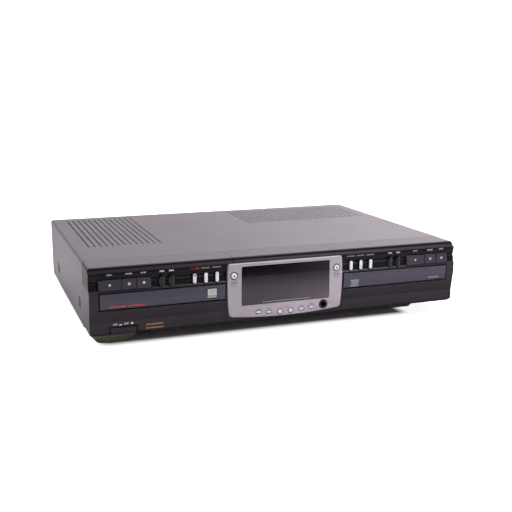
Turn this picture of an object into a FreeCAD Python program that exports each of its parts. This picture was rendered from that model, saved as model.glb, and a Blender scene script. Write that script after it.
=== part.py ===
import FreeCAD, Part
import math
import os

V = FreeCAD.Vector

# Sizes are in millimetres. X runs to the right seen from the front, the front faces -Y and Z is up.
# Y is zero at the seat of the front lip while modelling. The last step moves every piece so that
# the origin lies under the middle of the whole object, on the surface that its feet stand on.

# Front, across
BEZEL_WIDTH = 137.4
DRAWER_GAP = 2.3
DRAWER_WIDTH = 135.3
SIDE_MARGIN = 11.2
WIDTH = BEZEL_WIDTH + 2 * (DRAWER_GAP + DRAWER_WIDTH + SIDE_MARGIN)
DECK_X = BEZEL_WIDTH / 2 + DRAWER_GAP + DRAWER_WIDTH / 2
DECKS = {"left": -DECK_X, "right": DECK_X}

# Front, upwards
FOOT_HEIGHT = 15.0
CHIN_HEIGHT = 28.5
DRAWER_HEIGHT = 17.0
KEY_GAP = 3.5
KEY_HEIGHT = 11.0
LIP_HEIGHT = 13.0
DRAWER_Z0 = FOOT_HEIGHT + CHIN_HEIGHT
DRAWER_Z1 = DRAWER_Z0 + DRAWER_HEIGHT
KEY_Z0 = DRAWER_Z1 + KEY_GAP
KEY_Z1 = KEY_Z0 + KEY_HEIGHT
TOP_Z = KEY_Z1 + LIP_HEIGHT

# Case
BODY_DEPTH = 305.0
SHEET = 1.0
FASCIA_DEPTH = 37.0
FASCIA_WALL = 2.5
SEAM_GAP = 0.4
SEAT_GAP = 0.1
PART_GAP = 0.3
COVER_EDGE_RADIUS = 3.0
COVER_HEM = 3.4
COVER_REAR_LIP = 14.0

# Section of the fascia: how far each band stands in front of the lip's seat (+) or behind it (-)
SWELL = 3.1
NOSE = 2.4
GROOVE = -1.0
CHIN = -0.3
NOSE_RADIUS = 6.0
NOSE_UNDERCUT = 1.8
CHIN_RADIUS = 2.5
CHIN_FLAT = 14.5
BROW_RISE = 2.5
FASCIA_TOP_RADIUS = 3.5
FASCIA_BOTTOM_RADIUS = 3.0
FASCIA_INNER_Y = 3.5
TOP_JOINT_HALF_SPAN = 61.0
TOP_JOINT_WIDTH = 0.5
TOP_JOINT_DEPTH = 0.4
CORNER_BLOCK = 7.5

# Drawers and their apertures
DRAWER_CLEARANCE = 1.3
DRAWER_PROUD = 0.4
DRAWER_BACK_Y = -0.2
DRAWER_EDGE = 0.6

# Deck keys: the offsets run from the drawer's outer or inner end
KEY_CLEARANCE = 0.3
KEY_SPLIT = 0.5
KEY_TRAVEL = 0.8
KEY_EDGE = 0.7
KEY_FLANGE_LAP = 1.0
KEY_FLANGE_THICKNESS = 1.0
KEY_FLANGE_GAP = 0.2
KEY_STEM_RADIUS = 1.4
PLAY_KEY_WIDTH = 24.0
SHORT_KEY_WIDTH = 14.9
KEY_BLOCK_MARGIN = 1.0
KEY_TOP_PROUD = 2.2
KEY_BOTTOM_PROUD = 3.5
SKIP_KEY_WIDTH = 6.6
SKIP_KEY_HEIGHT = 12.4
SKIP_KEY_PITCH = 10.5
SKIP_KEY_OFFSETS = {"left": 15.0, "right": 13.9}
SKIP_KEY_PROUD = 3.5
SKIP_KEY_DOME_RADIUS = 4.2
PILL_WIDTH = 3.8
PILL_HEIGHT = 10.8
PILL_PITCH = 12.5
PILL_OFFSET = 9.1
PILL_PROUD = 3.5
PILL_EDGE = 0.6

# Power button
POWER_WIDTH = 27.7
POWER_HEIGHT = 6.0
POWER_OFFSET = 10.5
POWER_RISE = 1.9
POWER_PROUD = 0.7
POWER_TRAVEL = 2.5
POWER_GAP_TOP = 1.2
POWER_GAP_BOTTOM = 0.4
POWER_EDGE = 0.6

# Centre bezel and window
BEZEL_RISE = 7.9
BEZEL_DROP = 6.0
BEZEL_SMILE = 3.7
BEZEL_TOP_INSET = 1.0
BEZEL_LOW_INSET = 2.2
BEZEL_LOW_RADIUS = 4.0
BEZEL_TOP_RADIUS = 2.0
BEZEL_PROUD = 3.9
BEZEL_PLATE = 2.5
BEZEL_SKIRT = 1.0
BEZEL_EDGE = 0.8
BEZEL_CLEARANCE = 0.15
BEZEL_LEDGE = 1.8
BEZEL_SEAT_Y = 1.5
WINDOW_SIDE_STRIP = 16.0
WINDOW_TOP_MARGIN = 3.6
MENU_STRIP_HEIGHT = 11.4
WINDOW_CORNER = 1.5
WINDOW_SINK = 0.6
WINDOW_LAP = 0.6
WINDOW_FLANGE = 1.5
EJECT_DROP = 13.1
EJECT_INSET = 7.4
EJECT_RADIUS = 3.2
EJECT_RING = 1.2
EJECT_PROUD = 0.9
MENU_PILL_WIDTH = 5.6
MENU_PILL_HEIGHT = 2.2
MENU_ROUND_RADIUS = 2.4
MENU_RING = 0.95
MENU_PROUD = 0.6
MENU_KEY_SHARES = (0.093, 0.284, 0.464)
MENU_KEY_SHIFT = -1.0
MENU_KEY_RISE = 1.65
MENU_LINE_RISE = 1.3

# Headphone socket
JACK_BORE_RADIUS = 3.25
JACK_RING_RADIUS = 5.3
JACK_NECK_RADIUS = 4.4
JACK_PROUD = 0.5
JACK_SHARE = 0.662
JACK_DROP = 6.5
JACK_BODY = 13.0
JACK_BODY_Y0 = 6.0
JACK_BODY_Y1 = 26.0
JACK_BORE_LENGTH = 24.0

# Boards
BOARD = 1.6
FRONT_BOARD_Y = 12.0
SWITCH_SIZE = 6.0
SWITCH_HEIGHT = 4.3
STEM_SLACK = 0.15
BOARD_BOSS_HEIGHT = 10.0
BOARD_BOSS_RADIUS = 3.0
BOARD_PIN_RADIUS = 1.4
BOARD_PIN_CLEARANCE = 0.2
BOARD_HOLE_INSET = 5.0
MAIN_BOARD_WIDTH = 305.5
MAIN_BOARD_MARGIN = 12.0
POWER_BOARD_MARGIN = 13.6
POWER_BOARD_Y0 = 60.0
CHIP_COUNT = 4
CHIP_SIZE = 22.0
CHIP_THICKNESS = 2.5
SMALL_CAPACITOR_RADIUS = 4.0
SMALL_CAPACITOR_HEIGHT = 12.0
LARGE_CAPACITOR_COUNT = 3
LARGE_CAPACITOR_RADIUS = 8.0
LARGE_CAPACITOR_HEIGHT = 26.0
HEAT_SINK_THICKNESS = 4.0
HEAT_SINK_LENGTH = 70.0
HEAT_SINK_HEIGHT = 30.0
CORE_WIDTH = 50.0
CORE_STACK = 22.0
CORE_HEIGHT = 40.0
CORE_LIMB = 8.0
COIL_WALL = 8.0
COIL_CLEARANCE = 0.3
DISPLAY_TUBE_MARGIN = 6.0
DISPLAY_TUBE_THICKNESS = 7.0

# Loader: the tray and its guides
TRAY_WIDTH = 128.0
TRAY_THICKNESS = 7.0
TRAY_RISE = 6.5
TRAY_LENGTH = 200.0
TRAY_TRAVEL = 152.0
DISC_CENTRE_Y = 88.0
DISC_RADIUS = 60.0
DISC_WELL_CLEARANCE = 1.0
DISC_WELL_DEPTH = 3.5
SMALL_DISC_RADIUS = 40.5
SMALL_WELL_DEPTH = 1.5
TRAY_HUB_OPENING = 20.0
PICKUP_SLOT_HALF_WIDTH = 21.0
PICKUP_SLOT_REACH = 70.0
LOADER_Y0 = 22.0
LOADER_Y1 = 215.0
LOADER_WALL = 2.6
LOADER_SIDE_GAP = 0.4
LOADER_GUIDE_LAP = 2.9
LOADER_GUIDE_THICKNESS = 2.0
LOADER_PLATE_RISE = 15.0
LOADER_PLATE = 2.0
LOADER_OPENING_HALF_WIDTH = 44.0
LOADER_OPENING_Y0 = 72.0
LOADER_OPENING_Y1 = 180.0
LOADER_LEG_RADIUS = 4.0
LOADER_LEG_INSET = 9.0
LOADER_LEG_SETBACK = 32.0

# Loader: drive
MODULE = 1.0
DRIVE_TEETH = 18
PRESSURE_ANGLE = 20.0
BACKLASH = 0.25
DRIVE_GEAR_THICKNESS = 3.4
DRIVE_GEAR_Y = 38.0
RACK_WIDTH = 4.0
RACK_INSET = 2.7
RACK_DEPTH = 4.0
DRIVE_PIN_RADIUS = 1.5
BELT_WHEEL_RADIUS = 14.0
MOTOR_PULLEY_RADIUS = 3.0
PULLEY_THICKNESS = 3.0
PULLEY_GROOVE = 0.8
BELT_THICKNESS = 1.2
BELT_HEIGHT = 1.4
BELT_CLEARANCE = 0.05
MOTOR_DISTANCE = 38.0
MOTOR_RADIUS = 10.0
MOTOR_LENGTH = 9.5
MOTOR_SHAFT_RADIUS = 1.0
RUNNING = 0.05

# Loader: the tilting pickup frame, drawn level, then lowered to its rest
PIVOT_Y = 190.0
PIVOT_DROP = 8.0
LIFT_DROP = 7.6
LIFT_PLATE = 1.5
LIFT_PLATE_DROP = 5.0
LIFT_HALF_WIDTH = 40.0
LIFT_Y0 = 76.0
LIFT_Y1 = 186.0
LIFT_PIN_RADIUS = 1.5
LIFT_EAR = 3.0
REST_X = 20.0
REST_WIDTH = 12.0
LIFT_WINDOW_HALF_WIDTH = 27.0
LIFT_WINDOW_Y0 = 100.0
LIFT_WINDOW_Y1 = 173.0
SPINDLE_MOTOR_RADIUS = 11.0
SPINDLE_MOTOR_HEIGHT = 10.0
TURNTABLE_RADIUS = 14.5
TURNTABLE_SEAT_RISE = 4.5
TURNTABLE_THICKNESS = 2.0
TURNTABLE_CONE_RADIUS = 7.4
TURNTABLE_CONE_HEIGHT = 2.5
TURNTABLE_SHAFT_RADIUS = 1.0
GUIDE_ROD_RADIUS = 1.5
GUIDE_ROD_X = 23.0
GUIDE_ROD_RISE = 2.2
GUIDE_BLOCK = 4.0
PICKUP_LENGTH = 24.0
PICKUP_HALF_WIDTH = 18.0
PICKUP_START = 25.0
PICKUP_BELOW = 3.0
PICKUP_ABOVE = 4.2
LENS_HOUSING_RADIUS = 7.5
LENS_RADIUS = 2.2
LENS_TOP_DROP = 2.7

# Loader: the clamp
BRIDGE_WIDTH = 28.0
BRIDGE_THICKNESS = 2.0
DISC_THICKNESS = 1.2
PUCK_RADIUS = 14.0
PUCK_THICKNESS = 2.6
PUCK_NECK_RADIUS = 6.0
PUCK_FLANGE_RADIUS = 10.0
PUCK_FLANGE_THICKNESS = 1.5
PUCK_PLAY = 1.0

# Underside and back
FOOT_WIDTH = 38.0
FOOT_LENGTH = 40.0
FOOT_FLARE = 5.0
FOOT_FLARE_HEIGHT = 6.0
FOOT_CORNER = 7.0
LEFT_FOOT_Y = 23.0
RIGHT_FOOT_Y = 40.0
LEFT_FOOT_INSET = 11.5
RIGHT_FOOT_INSET = 29.5
REAR_FOOT_MARGIN = 18.0
REAR_TAB = 5.0
SIDE_FLANGE_HEIGHT = 34.0
SIDE_FLANGE_SETBACK = 5.0
DIMPLE_RADIUS = 7.75
DIMPLE_FLOOR_RADIUS = 4.6
DIMPLE_DEPTH = 3.0
DIMPLE_RISE = 21.5
DIMPLE_SPOTS_Y = (62.0, 238.0)
SCREW_RADIUS = 1.5
SCREW_HEAD_RADIUS = 3.0
SCREW_HEAD_HEIGHT = 2.0
SCREW_LENGTH = 9.0
SCREW_CLEARANCE = 0.15
SOCKET_BARREL_RADIUS = 4.15
SOCKET_BARREL_LENGTH = 8.0
SOCKET_BORE_RADIUS = 1.7
SOCKET_PITCH = 14.0
SOCKET_RISE = 12.0
SOCKET_BODY_DEPTH = 14.0
SOCKET_GROUPS_X = (-186.0, -148.0, -110.0, -72.0)
OPTICAL_X = (-30.0, -10.0)
OPTICAL_SIZE = 10.0
OPTICAL_PORT = 6.0
INLET_X = 178.0
INLET_RISE = 24.0
INLET_WIDTH = 22.0
INLET_HEIGHT = 15.0
INLET_FLANGE = 3.0
INLET_CAVITY_WIDTH = 14.6
INLET_CAVITY_HEIGHT = 8.8
INLET_CAVITY_DEPTH = 15.0
INLET_PIN_RADIUS = 1.2
INLET_PIN_SPREAD = 4.3
INLET_PIN_LENGTH = 11.0

# Ventilation slots in the cover
SLOT_PITCH = 7.0
SLOT_WIDTH = 1.3
LEFT_SLOT_COUNT = 13
LEFT_SLOT_MARGIN = 19.5
LEFT_SLOT_Y0 = 107.0
SLOT_REAR_MARGIN = 15.0
RIGHT_SLOT_COUNT = 25
RIGHT_SLOT_Y0 = 196.0

# Places that follow from the sizes
HALF = WIDTH / 2
BASE_TOP = FOOT_HEIGHT + SHEET
COVER_Y0 = FASCIA_DEPTH + SEAM_GAP
REAR_PANEL_Y0 = BODY_DEPTH - 2 * SHEET
REAR_PANEL_Y1 = BODY_DEPTH - SHEET
SIDE_FLANGE_X = HALF - SHEET - DIMPLE_DEPTH - SEAT_GAP
SWITCH_FACE_Y = FRONT_BOARD_Y - SWITCH_HEIGHT
STEM_END_Y = SWITCH_FACE_Y - KEY_TRAVEL - STEM_SLACK
POWER_STEM_END_Y = SWITCH_FACE_Y - POWER_TRAVEL - STEM_SLACK
KEY_FLANGE_Y = FASCIA_INNER_Y + KEY_FLANGE_GAP
TRAY_Z0 = DRAWER_Z0 + TRAY_RISE
TRAY_Z1 = TRAY_Z0 + TRAY_THICKNESS
LOADER_INNER = TRAY_WIDTH / 2 + LOADER_SIDE_GAP
LOADER_OUTER = LOADER_INNER + LOADER_WALL
LOADER_PLATE_Z0 = FOOT_HEIGHT + LOADER_PLATE_RISE
LOADER_PLATE_Z1 = LOADER_PLATE_Z0 + LOADER_PLATE
LOADER_TOP_Z = TRAY_Z1 + PART_GAP + LOADER_GUIDE_THICKNESS
DISC_SEAT_Z = TRAY_Z1 - DISC_WELL_DEPTH
PLAY_SEAT_Z = TRAY_Z0 + TURNTABLE_SEAT_RISE
LIFT_TOP_Z = TRAY_Z0 - LIFT_PLATE_DROP
PIVOT_Z = TRAY_Z0 - PIVOT_DROP
LIFT_ANGLE = math.degrees(math.asin(LIFT_DROP / (PIVOT_Y - DISC_CENTRE_Y)))
DRIVE_RADIUS = MODULE * DRIVE_TEETH / 2
RACK_TOOTH_X = -TRAY_WIDTH / 2 + RACK_INSET + RACK_WIDTH
DRIVE_GEAR_X = RACK_TOOTH_X - MODULE + DRIVE_RADIUS
MOTOR_X = DRIVE_GEAR_X + MOTOR_DISTANCE
BEZEL_Z0 = FOOT_HEIGHT + BEZEL_RISE
BEZEL_Z1 = TOP_Z - BEZEL_DROP
BEZEL_BACK_Y = BEZEL_PLATE - BEZEL_PROUD
WINDOW_WIDTH = BEZEL_WIDTH - 2 * WINDOW_SIDE_STRIP
JACK_X = BEZEL_WIDTH / 2 * JACK_SHARE
WINDOW_Z0 = BEZEL_Z0 + MENU_STRIP_HEIGHT
WINDOW_Z1 = BEZEL_Z1 - WINDOW_TOP_MARGIN
JACK_Z = WINDOW_Z0 - JACK_DROP
REACH_FRONT = BEZEL_PROUD + EJECT_PROUD
REACH_REAR = REAR_PANEL_Y1 + SOCKET_BARREL_LENGTH
CENTRE_Y = (REACH_REAR - REACH_FRONT) / 2


def box(x0, x1, y0, y1, z0, z1):
    return Part.makeBox(x1 - x0, y1 - y0, z1 - z0, V(x0, y0, z0))


def rod_x(x0, x1, y, z, radius):
    return Part.makeCylinder(radius, x1 - x0, V(x0, y, z), V(1, 0, 0))


def rod_y(x, y0, y1, z, radius):
    return Part.makeCylinder(radius, y1 - y0, V(x, y0, z), V(0, 1, 0))


def rod_z(x, y, z0, z1, radius):
    return Part.makeCylinder(radius, z1 - z0, V(x, y, z0), V(0, 0, 1))


def edges_along(solid, direction, keep=lambda centre: True):
    """Straight edges of a solid that run along a direction and whose centre passes a test."""
    found = []
    for edge in solid.Edges:
        if len(edge.Vertexes) == 2:
            run = edge.Vertexes[1].Point - edge.Vertexes[0].Point
            if abs(abs(run.normalize().dot(direction)) - 1) < 1e-6 and keep(edge.CenterOfMass):
                found.append(edge)
    return found


def slab_y(x0, x1, y0, y1, z0, z1, radius):
    """Plate across the front with its corners rounded, seen from the front."""
    limit = min(x1 - x0, z1 - z0) / 2 - 0.01
    plate = box(x0, x1, y0, y1, z0, z1)
    return plate.makeFillet(min(radius, limit), edges_along(plate, V(0, 1, 0)))


def slab_z(x0, x1, y0, y1, z0, z1, radius):
    """Flat plate with its corners rounded, seen from above."""
    plate = box(x0, x1, y0, y1, z0, z1)
    return plate.makeFillet(radius, edges_along(plate, V(0, 0, 1)))


def softened(solid, radius, keep):
    """Fillet the edges whose centre passes a test."""
    return solid.makeFillet(radius, [edge for edge in solid.Edges if keep(edge.CenterOfMass)])


def bowed(start, end, rise):
    """Arc from start to end that rises to the left of the chord by the given height."""
    chord = end - start
    normal = V(0, -chord.z, chord.y) if abs(chord.x) < 1e-9 else V(-chord.z, 0, chord.x)
    middle = (start + end) * 0.5 + normal.normalize() * rise
    return Part.Arc(start, middle, end).toShape()


def line(start, end):
    return Part.LineSegment(start, end).toShape()


def prism_x(points, x0, x1):
    """Extrude a closed outline of (y, z) points along X."""
    corners = [V(x0, y, z) for y, z in points]
    face = Part.Face(Part.makePolygon(corners + corners[:1]))
    return face.extrude(V(x1 - x0, 0, 0))


def fused(solids):
    first, *others = solids
    return first.multiFuse(others).removeSplitter() if others else first


def front_at(z):
    """Y of the fascia's front between the chin and the swell."""
    chin_top = FOOT_HEIGHT + CHIN_FLAT
    swell_start = (DRAWER_Z0 + DRAWER_Z1) / 2
    share = min(max((z - chin_top) / (swell_start - chin_top), 0), 1)
    return -CHIN - share * (SWELL - CHIN)


def fascia_section(x):
    """Closed section of the fascia's outer shape."""
    middle_z = (DRAWER_Z0 + DRAWER_Z1) / 2
    chin_low = V(x, CHIN_RADIUS - CHIN, FOOT_HEIGHT)
    chin_front = V(x, -CHIN, FOOT_HEIGHT + CHIN_RADIUS)
    chin_top = V(x, -CHIN, FOOT_HEIGHT + CHIN_FLAT)
    swell_low = V(x, -SWELL, middle_z)
    swell_top = V(x, -SWELL, DRAWER_Z1 + BROW_RISE)
    brow = V(x, -(SWELL + GROOVE) / 2, KEY_Z0 + 0.28 * KEY_HEIGHT)
    groove = V(x, -GROOVE, KEY_Z1 - 0.28 * KEY_HEIGHT)
    under_nose = V(x, NOSE_UNDERCUT - NOSE, KEY_Z1 + 0.2 * LIP_HEIGHT)
    nose = V(x, -NOSE, TOP_Z - NOSE_RADIUS)
    nose_top = V(x, NOSE_RADIUS - NOSE, TOP_Z)
    rear_top = V(x, FASCIA_DEPTH, TOP_Z)
    rear_low = V(x, FASCIA_DEPTH, FOOT_HEIGHT)
    quarter_rise = 1 - math.sqrt(0.5)
    edges = [
        line(rear_low, chin_low),
        bowed(chin_low, chin_front, -CHIN_RADIUS * quarter_rise),
        line(chin_front, chin_top),
        line(chin_top, swell_low),
        line(swell_low, swell_top),
        bowed(swell_top, brow, -0.45),
        bowed(brow, groove, 0.65),
        bowed(groove, under_nose, 0.4),
        bowed(under_nose, nose, -0.45),
        bowed(nose, nose_top, -NOSE_RADIUS * quarter_rise),
        line(nose_top, rear_top),
        line(rear_top, rear_low),
    ]
    return Part.Wire(edges)


def bezel_block(y0, y1, grow=0.0):
    """Bezel outline along Y: bowed sides, a curved lower edge and rounded corners."""
    top = BEZEL_WIDTH / 2 - BEZEL_TOP_INSET + grow
    low = BEZEL_WIDTH / 2 - BEZEL_LOW_INSET + grow
    z0 = BEZEL_Z0 - grow
    z1 = BEZEL_Z1 + grow
    bulge = (BEZEL_TOP_INSET + BEZEL_LOW_INSET) / 2
    outline = Part.Wire([
        line(V(-top, y0, z1), V(top, y0, z1)),
        bowed(V(top, y0, z1), V(low, y0, z0), bulge),
        bowed(V(low, y0, z0), V(-low, y0, z0), BEZEL_SMILE),
        bowed(V(-low, y0, z0), V(-top, y0, z1), bulge),
    ])
    block = Part.Face(outline).extrude(V(0, y1 - y0, 0))
    along = V(0, 1, 0)
    block = block.makeFillet(BEZEL_LOW_RADIUS + grow, edges_along(block, along, lambda c: c.z < DRAWER_Z0))
    return block.makeFillet(BEZEL_TOP_RADIUS + grow, edges_along(block, along, lambda c: c.z > DRAWER_Z0))


def window_block(y0, y1, grow, grow_low):
    half = WINDOW_WIDTH / 2
    return slab_y(-half - grow, half + grow, y0, y1, WINDOW_Z0 - grow_low, WINDOW_Z1 + grow,
                  WINDOW_CORNER + grow)


def deck_side(name):
    """-1 for the left deck, 1 for the right."""
    return -1 if name == "left" else 1


def key_block_spans(name):
    """X spans of play, pause and stop. The block lies at the deck's outer end, in the same order."""
    total = PLAY_KEY_WIDTH + 2 * SHORT_KEY_WIDTH + 2 * KEY_SPLIT
    outer = DECK_X + DRAWER_WIDTH / 2 + KEY_BLOCK_MARGIN
    start = -outer if name == "left" else outer - total
    spans = {}
    for key, width in (("play", PLAY_KEY_WIDTH), ("pause", SHORT_KEY_WIDTH), ("stop", SHORT_KEY_WIDTH)):
        spans[key] = (start, start + width)
        start += width + KEY_SPLIT
    return spans


def skip_key_spots(name):
    """X of the two skip keys, next to the key block's inner end."""
    spans = key_block_spans(name)
    reach = SKIP_KEY_OFFSETS[name] - SKIP_KEY_WIDTH / 2 + KEY_SPLIT
    if name == "left":
        first = spans["stop"][1] + reach
        return {"skip_back": first, "skip_forward": first + SKIP_KEY_PITCH}
    last = spans["play"][0] - reach
    return {"skip_back": last - SKIP_KEY_PITCH, "skip_forward": last}


def pill_key_spots(name):
    """X of the three upright keys, from left to right, next to the bezel."""
    inner = BEZEL_WIDTH / 2 + DRAWER_GAP + PILL_OFFSET
    spots = sorted(deck_side(name) * (inner + index * PILL_PITCH) for index in range(3))
    return {f"option_{index + 1}": x for index, x in enumerate(spots)}


def skip_key_column(x, y0, y1, grow):
    """Upright oval column along Y."""
    ellipse = Part.Ellipse(V(0, 0, 0), SKIP_KEY_HEIGHT / 2 + grow, SKIP_KEY_WIDTH / 2 + grow)
    face = Part.Face(Part.Wire(ellipse.toShape()))
    column = face.extrude(V(0, 0, y1 - y0))
    column.rotate(V(0, 0, 0), V(0, 0, 1), 90)
    column.rotate(V(0, 0, 0), V(1, 0, 0), -90)
    column.translate(V(x, y0, (KEY_Z0 + KEY_Z1) / 2))
    return column


def pill_column(x, y0, y1, z, width, height, grow=0.0):
    return slab_y(x - width / 2 - grow, x + width / 2 + grow, y0, y1,
                  z - height / 2 - grow, z + height / 2 + grow, min(width, height) / 2 + grow)


def power_span():
    start = DECKS["left"] - DRAWER_WIDTH / 2 + POWER_OFFSET
    return start, start + POWER_WIDTH


def menu_key_z(x):
    """The small keys sit on a line that follows the bezel's curved lower edge."""
    reach = MENU_KEY_SHARES[-1] * BEZEL_WIDTH / 2
    return BEZEL_Z0 + MENU_LINE_RISE + MENU_KEY_RISE * ((x - MENU_KEY_SHIFT) / reach) ** 2


def menu_keys():
    """Name, X and shape of the six small keys, from left to right."""
    shares = [-share for share in reversed(MENU_KEY_SHARES)] + list(MENU_KEY_SHARES)
    return [(f"menu_key_{index + 1}", share * BEZEL_WIDTH / 2 + MENU_KEY_SHIFT,
             "round" if index in (2, 3) else "pill") for index, share in enumerate(shares)]


def fascia_posts():
    """X and Z of the posts inside the fascia that carry the front board and the power switch."""
    high = (KEY_Z1 + KEY_FLANGE_LAP + TOP_Z - FASCIA_WALL) / 2 + 0.5
    start, end = power_span()
    low = FOOT_HEIGHT + FASCIA_WALL + 5
    return [(x, high) for x in (-HALF + 14, -HALF / 2, HALF / 2, HALF - 14)] + [
        (start - 4.5, low), (end + 4.5, low)]


def corner_screw_spots():
    """X and Z of the four screws that hold the fascia to the chassis."""
    inset = FASCIA_WALL + CORNER_BLOCK / 2
    return [(side * (HALF - inset), z) for side in (-1, 1)
            for z in (FOOT_HEIGHT + inset, TOP_Z - inset)]


def make_fascia():
    section = Part.Face(fascia_section(-HALF))
    body = section.extrude(V(WIDTH, 0, 0))
    front = box(-HALF, HALF, -20, FASCIA_DEPTH, FOOT_HEIGHT, TOP_Z)
    along = V(0, 1, 0)
    front = front.makeFillet(FASCIA_TOP_RADIUS, edges_along(front, along, lambda c: c.z > KEY_Z1))
    front = front.makeFillet(FASCIA_BOTTOM_RADIUS, edges_along(front, along, lambda c: c.z < DRAWER_Z0))
    body = body.common(front)
    inner = slab_y(-HALF + FASCIA_WALL, HALF - FASCIA_WALL, FASCIA_INNER_Y, FASCIA_DEPTH + 1,
                   FOOT_HEIGHT + FASCIA_WALL, TOP_Z - FASCIA_WALL, FASCIA_WALL)
    body = body.cut(inner)

    posts = [rod_y(x, FASCIA_INNER_Y - 1, FRONT_BOARD_Y, z, 2.0) for x, z in fascia_posts()]
    for x, z in corner_screw_spots():
        half = CORNER_BLOCK / 2 + 0.5
        posts.append(box(x - half, x + half, FASCIA_INNER_Y - 0.5, FASCIA_DEPTH, z - half, z + half)
                     .common(front))
    body = body.multiFuse(posts)

    openings = []
    for name, centre in DECKS.items():
        half = DRAWER_WIDTH / 2 + DRAWER_CLEARANCE
        openings.append(box(centre - half, centre + half, -20, FASCIA_INNER_Y + 1,
                            DRAWER_Z0 - DRAWER_CLEARANCE, DRAWER_Z1 + DRAWER_CLEARANCE))
        spans = list(key_block_spans(name).values())
        openings.append(slab_y(spans[0][0] - KEY_CLEARANCE, spans[-1][1] + KEY_CLEARANCE, -20,
                               FASCIA_INNER_Y + 1, KEY_Z0 - KEY_CLEARANCE, KEY_Z1 + KEY_CLEARANCE, 0.8))
        for x in skip_key_spots(name).values():
            openings.append(skip_key_column(x, -20, FASCIA_INNER_Y + 1, KEY_CLEARANCE))
        for x in pill_key_spots(name).values():
            openings.append(pill_column(x, -20, FASCIA_INNER_Y + 1, (KEY_Z0 + KEY_Z1) / 2,
                                        PILL_WIDTH, PILL_HEIGHT, KEY_CLEARANCE))
    start, end = power_span()
    low = FOOT_HEIGHT + POWER_RISE
    openings.append(box(start - POWER_GAP_TOP, end + POWER_GAP_TOP, -20,
                        FASCIA_INNER_Y + POWER_TRAVEL + PART_GAP, low - POWER_GAP_BOTTOM,
                        low + POWER_HEIGHT + POWER_GAP_TOP))
    openings.append(bezel_block(-20, BEZEL_SEAT_Y, BEZEL_CLEARANCE))
    openings.append(bezel_block(-20, FASCIA_INNER_Y + 1, -BEZEL_LEDGE))
    for side in (-1, 1):
        x = side * TOP_JOINT_HALF_SPAN
        strip = Part.Face(fascia_section(x - TOP_JOINT_WIDTH / 2)).extrude(V(TOP_JOINT_WIDTH, 0, 0))
        core = strip.copy()
        core.translate(V(0, TOP_JOINT_DEPTH, -TOP_JOINT_DEPTH))
        high = box(-HALF, HALF, -20, FASCIA_DEPTH + 1, BEZEL_Z1, TOP_Z + 1)
        openings.append(strip.cut(core).common(high))
    for x, z in corner_screw_spots():
        openings.append(rod_y(x, FASCIA_DEPTH - SCREW_LENGTH, FASCIA_DEPTH + 1, z, SCREW_RADIUS))
    return body.cut(openings)


def make_drawer_front(centre):
    """Drawer front whose face follows the fascia's section and stands a little proud of it."""
    middle_z = (DRAWER_Z0 + DRAWER_Z1) / 2
    points = [
        (DRAWER_BACK_Y, DRAWER_Z0),
        (front_at(DRAWER_Z0) - DRAWER_PROUD, DRAWER_Z0),
        (front_at(middle_z) - DRAWER_PROUD, middle_z),
        (-SWELL - DRAWER_PROUD, DRAWER_Z1),
        (DRAWER_BACK_Y, DRAWER_Z1),
    ]
    front = prism_x(points, centre - DRAWER_WIDTH / 2, centre + DRAWER_WIDTH / 2)
    return softened(front, DRAWER_EDGE, lambda c: c.y < front_at(DRAWER_Z0) - DRAWER_PROUD / 2
                    and abs(c.z - middle_z) > DRAWER_HEIGHT / 2 - 0.01)


def key_flange_and_stem(x, z, half_width, half_height, radius, flange_y, stem_end, stem_radius):
    flange = slab_y(x - half_width, x + half_width, flange_y, flange_y + KEY_FLANGE_THICKNESS,
                    z - half_height, z + half_height, radius)
    stem = rod_y(x, flange_y, stem_end, z, stem_radius)
    return [flange, stem]


def make_block_key(x0, x1):
    """Wide key with a slanted face and rounded front edges."""
    z = (KEY_Z0 + KEY_Z1) / 2
    rear = KEY_FLANGE_Y + KEY_FLANGE_THICKNESS / 2
    points = [(rear, KEY_Z0), (-KEY_BOTTOM_PROUD, KEY_Z0), (-KEY_TOP_PROUD, KEY_Z1), (rear, KEY_Z1)]
    cap = softened(prism_x(points, x0, x1), KEY_EDGE, lambda c: c.y < -KEY_TOP_PROUD + 0.01)
    flange = box(x0, x1, KEY_FLANGE_Y, KEY_FLANGE_Y + KEY_FLANGE_THICKNESS,
                 KEY_Z0 - KEY_FLANGE_LAP, KEY_Z1 + KEY_FLANGE_LAP)
    stem = rod_y((x0 + x1) / 2, KEY_FLANGE_Y, STEM_END_Y, z, KEY_STEM_RADIUS)
    return fused([cap, flange, stem])


def make_skip_key(x):
    """Upright oval key with a barrel-shaped face."""
    z = (KEY_Z0 + KEY_Z1) / 2
    cap = skip_key_column(x, -SKIP_KEY_PROUD - 1, KEY_FLANGE_Y + KEY_FLANGE_THICKNESS / 2, 0)
    middle = SKIP_KEY_DOME_RADIUS - SKIP_KEY_PROUD
    low, high = z - SKIP_KEY_HEIGHT, z + SKIP_KEY_HEIGHT
    dome = rod_z(x, middle, low, high, SKIP_KEY_DOME_RADIUS)
    back = box(x - SKIP_KEY_WIDTH, x + SKIP_KEY_WIDTH, middle, KEY_FLANGE_Y + KEY_FLANGE_THICKNESS, low, high)
    cap = cap.common(dome.fuse(back))
    half_width = SKIP_KEY_WIDTH / 2 + (SKIP_KEY_PITCH - SKIP_KEY_WIDTH) / 4
    return fused([cap] + key_flange_and_stem(x, z, half_width, SKIP_KEY_HEIGHT / 2 + KEY_FLANGE_LAP,
                                             2.0, KEY_FLANGE_Y, STEM_END_Y, KEY_STEM_RADIUS))


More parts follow.
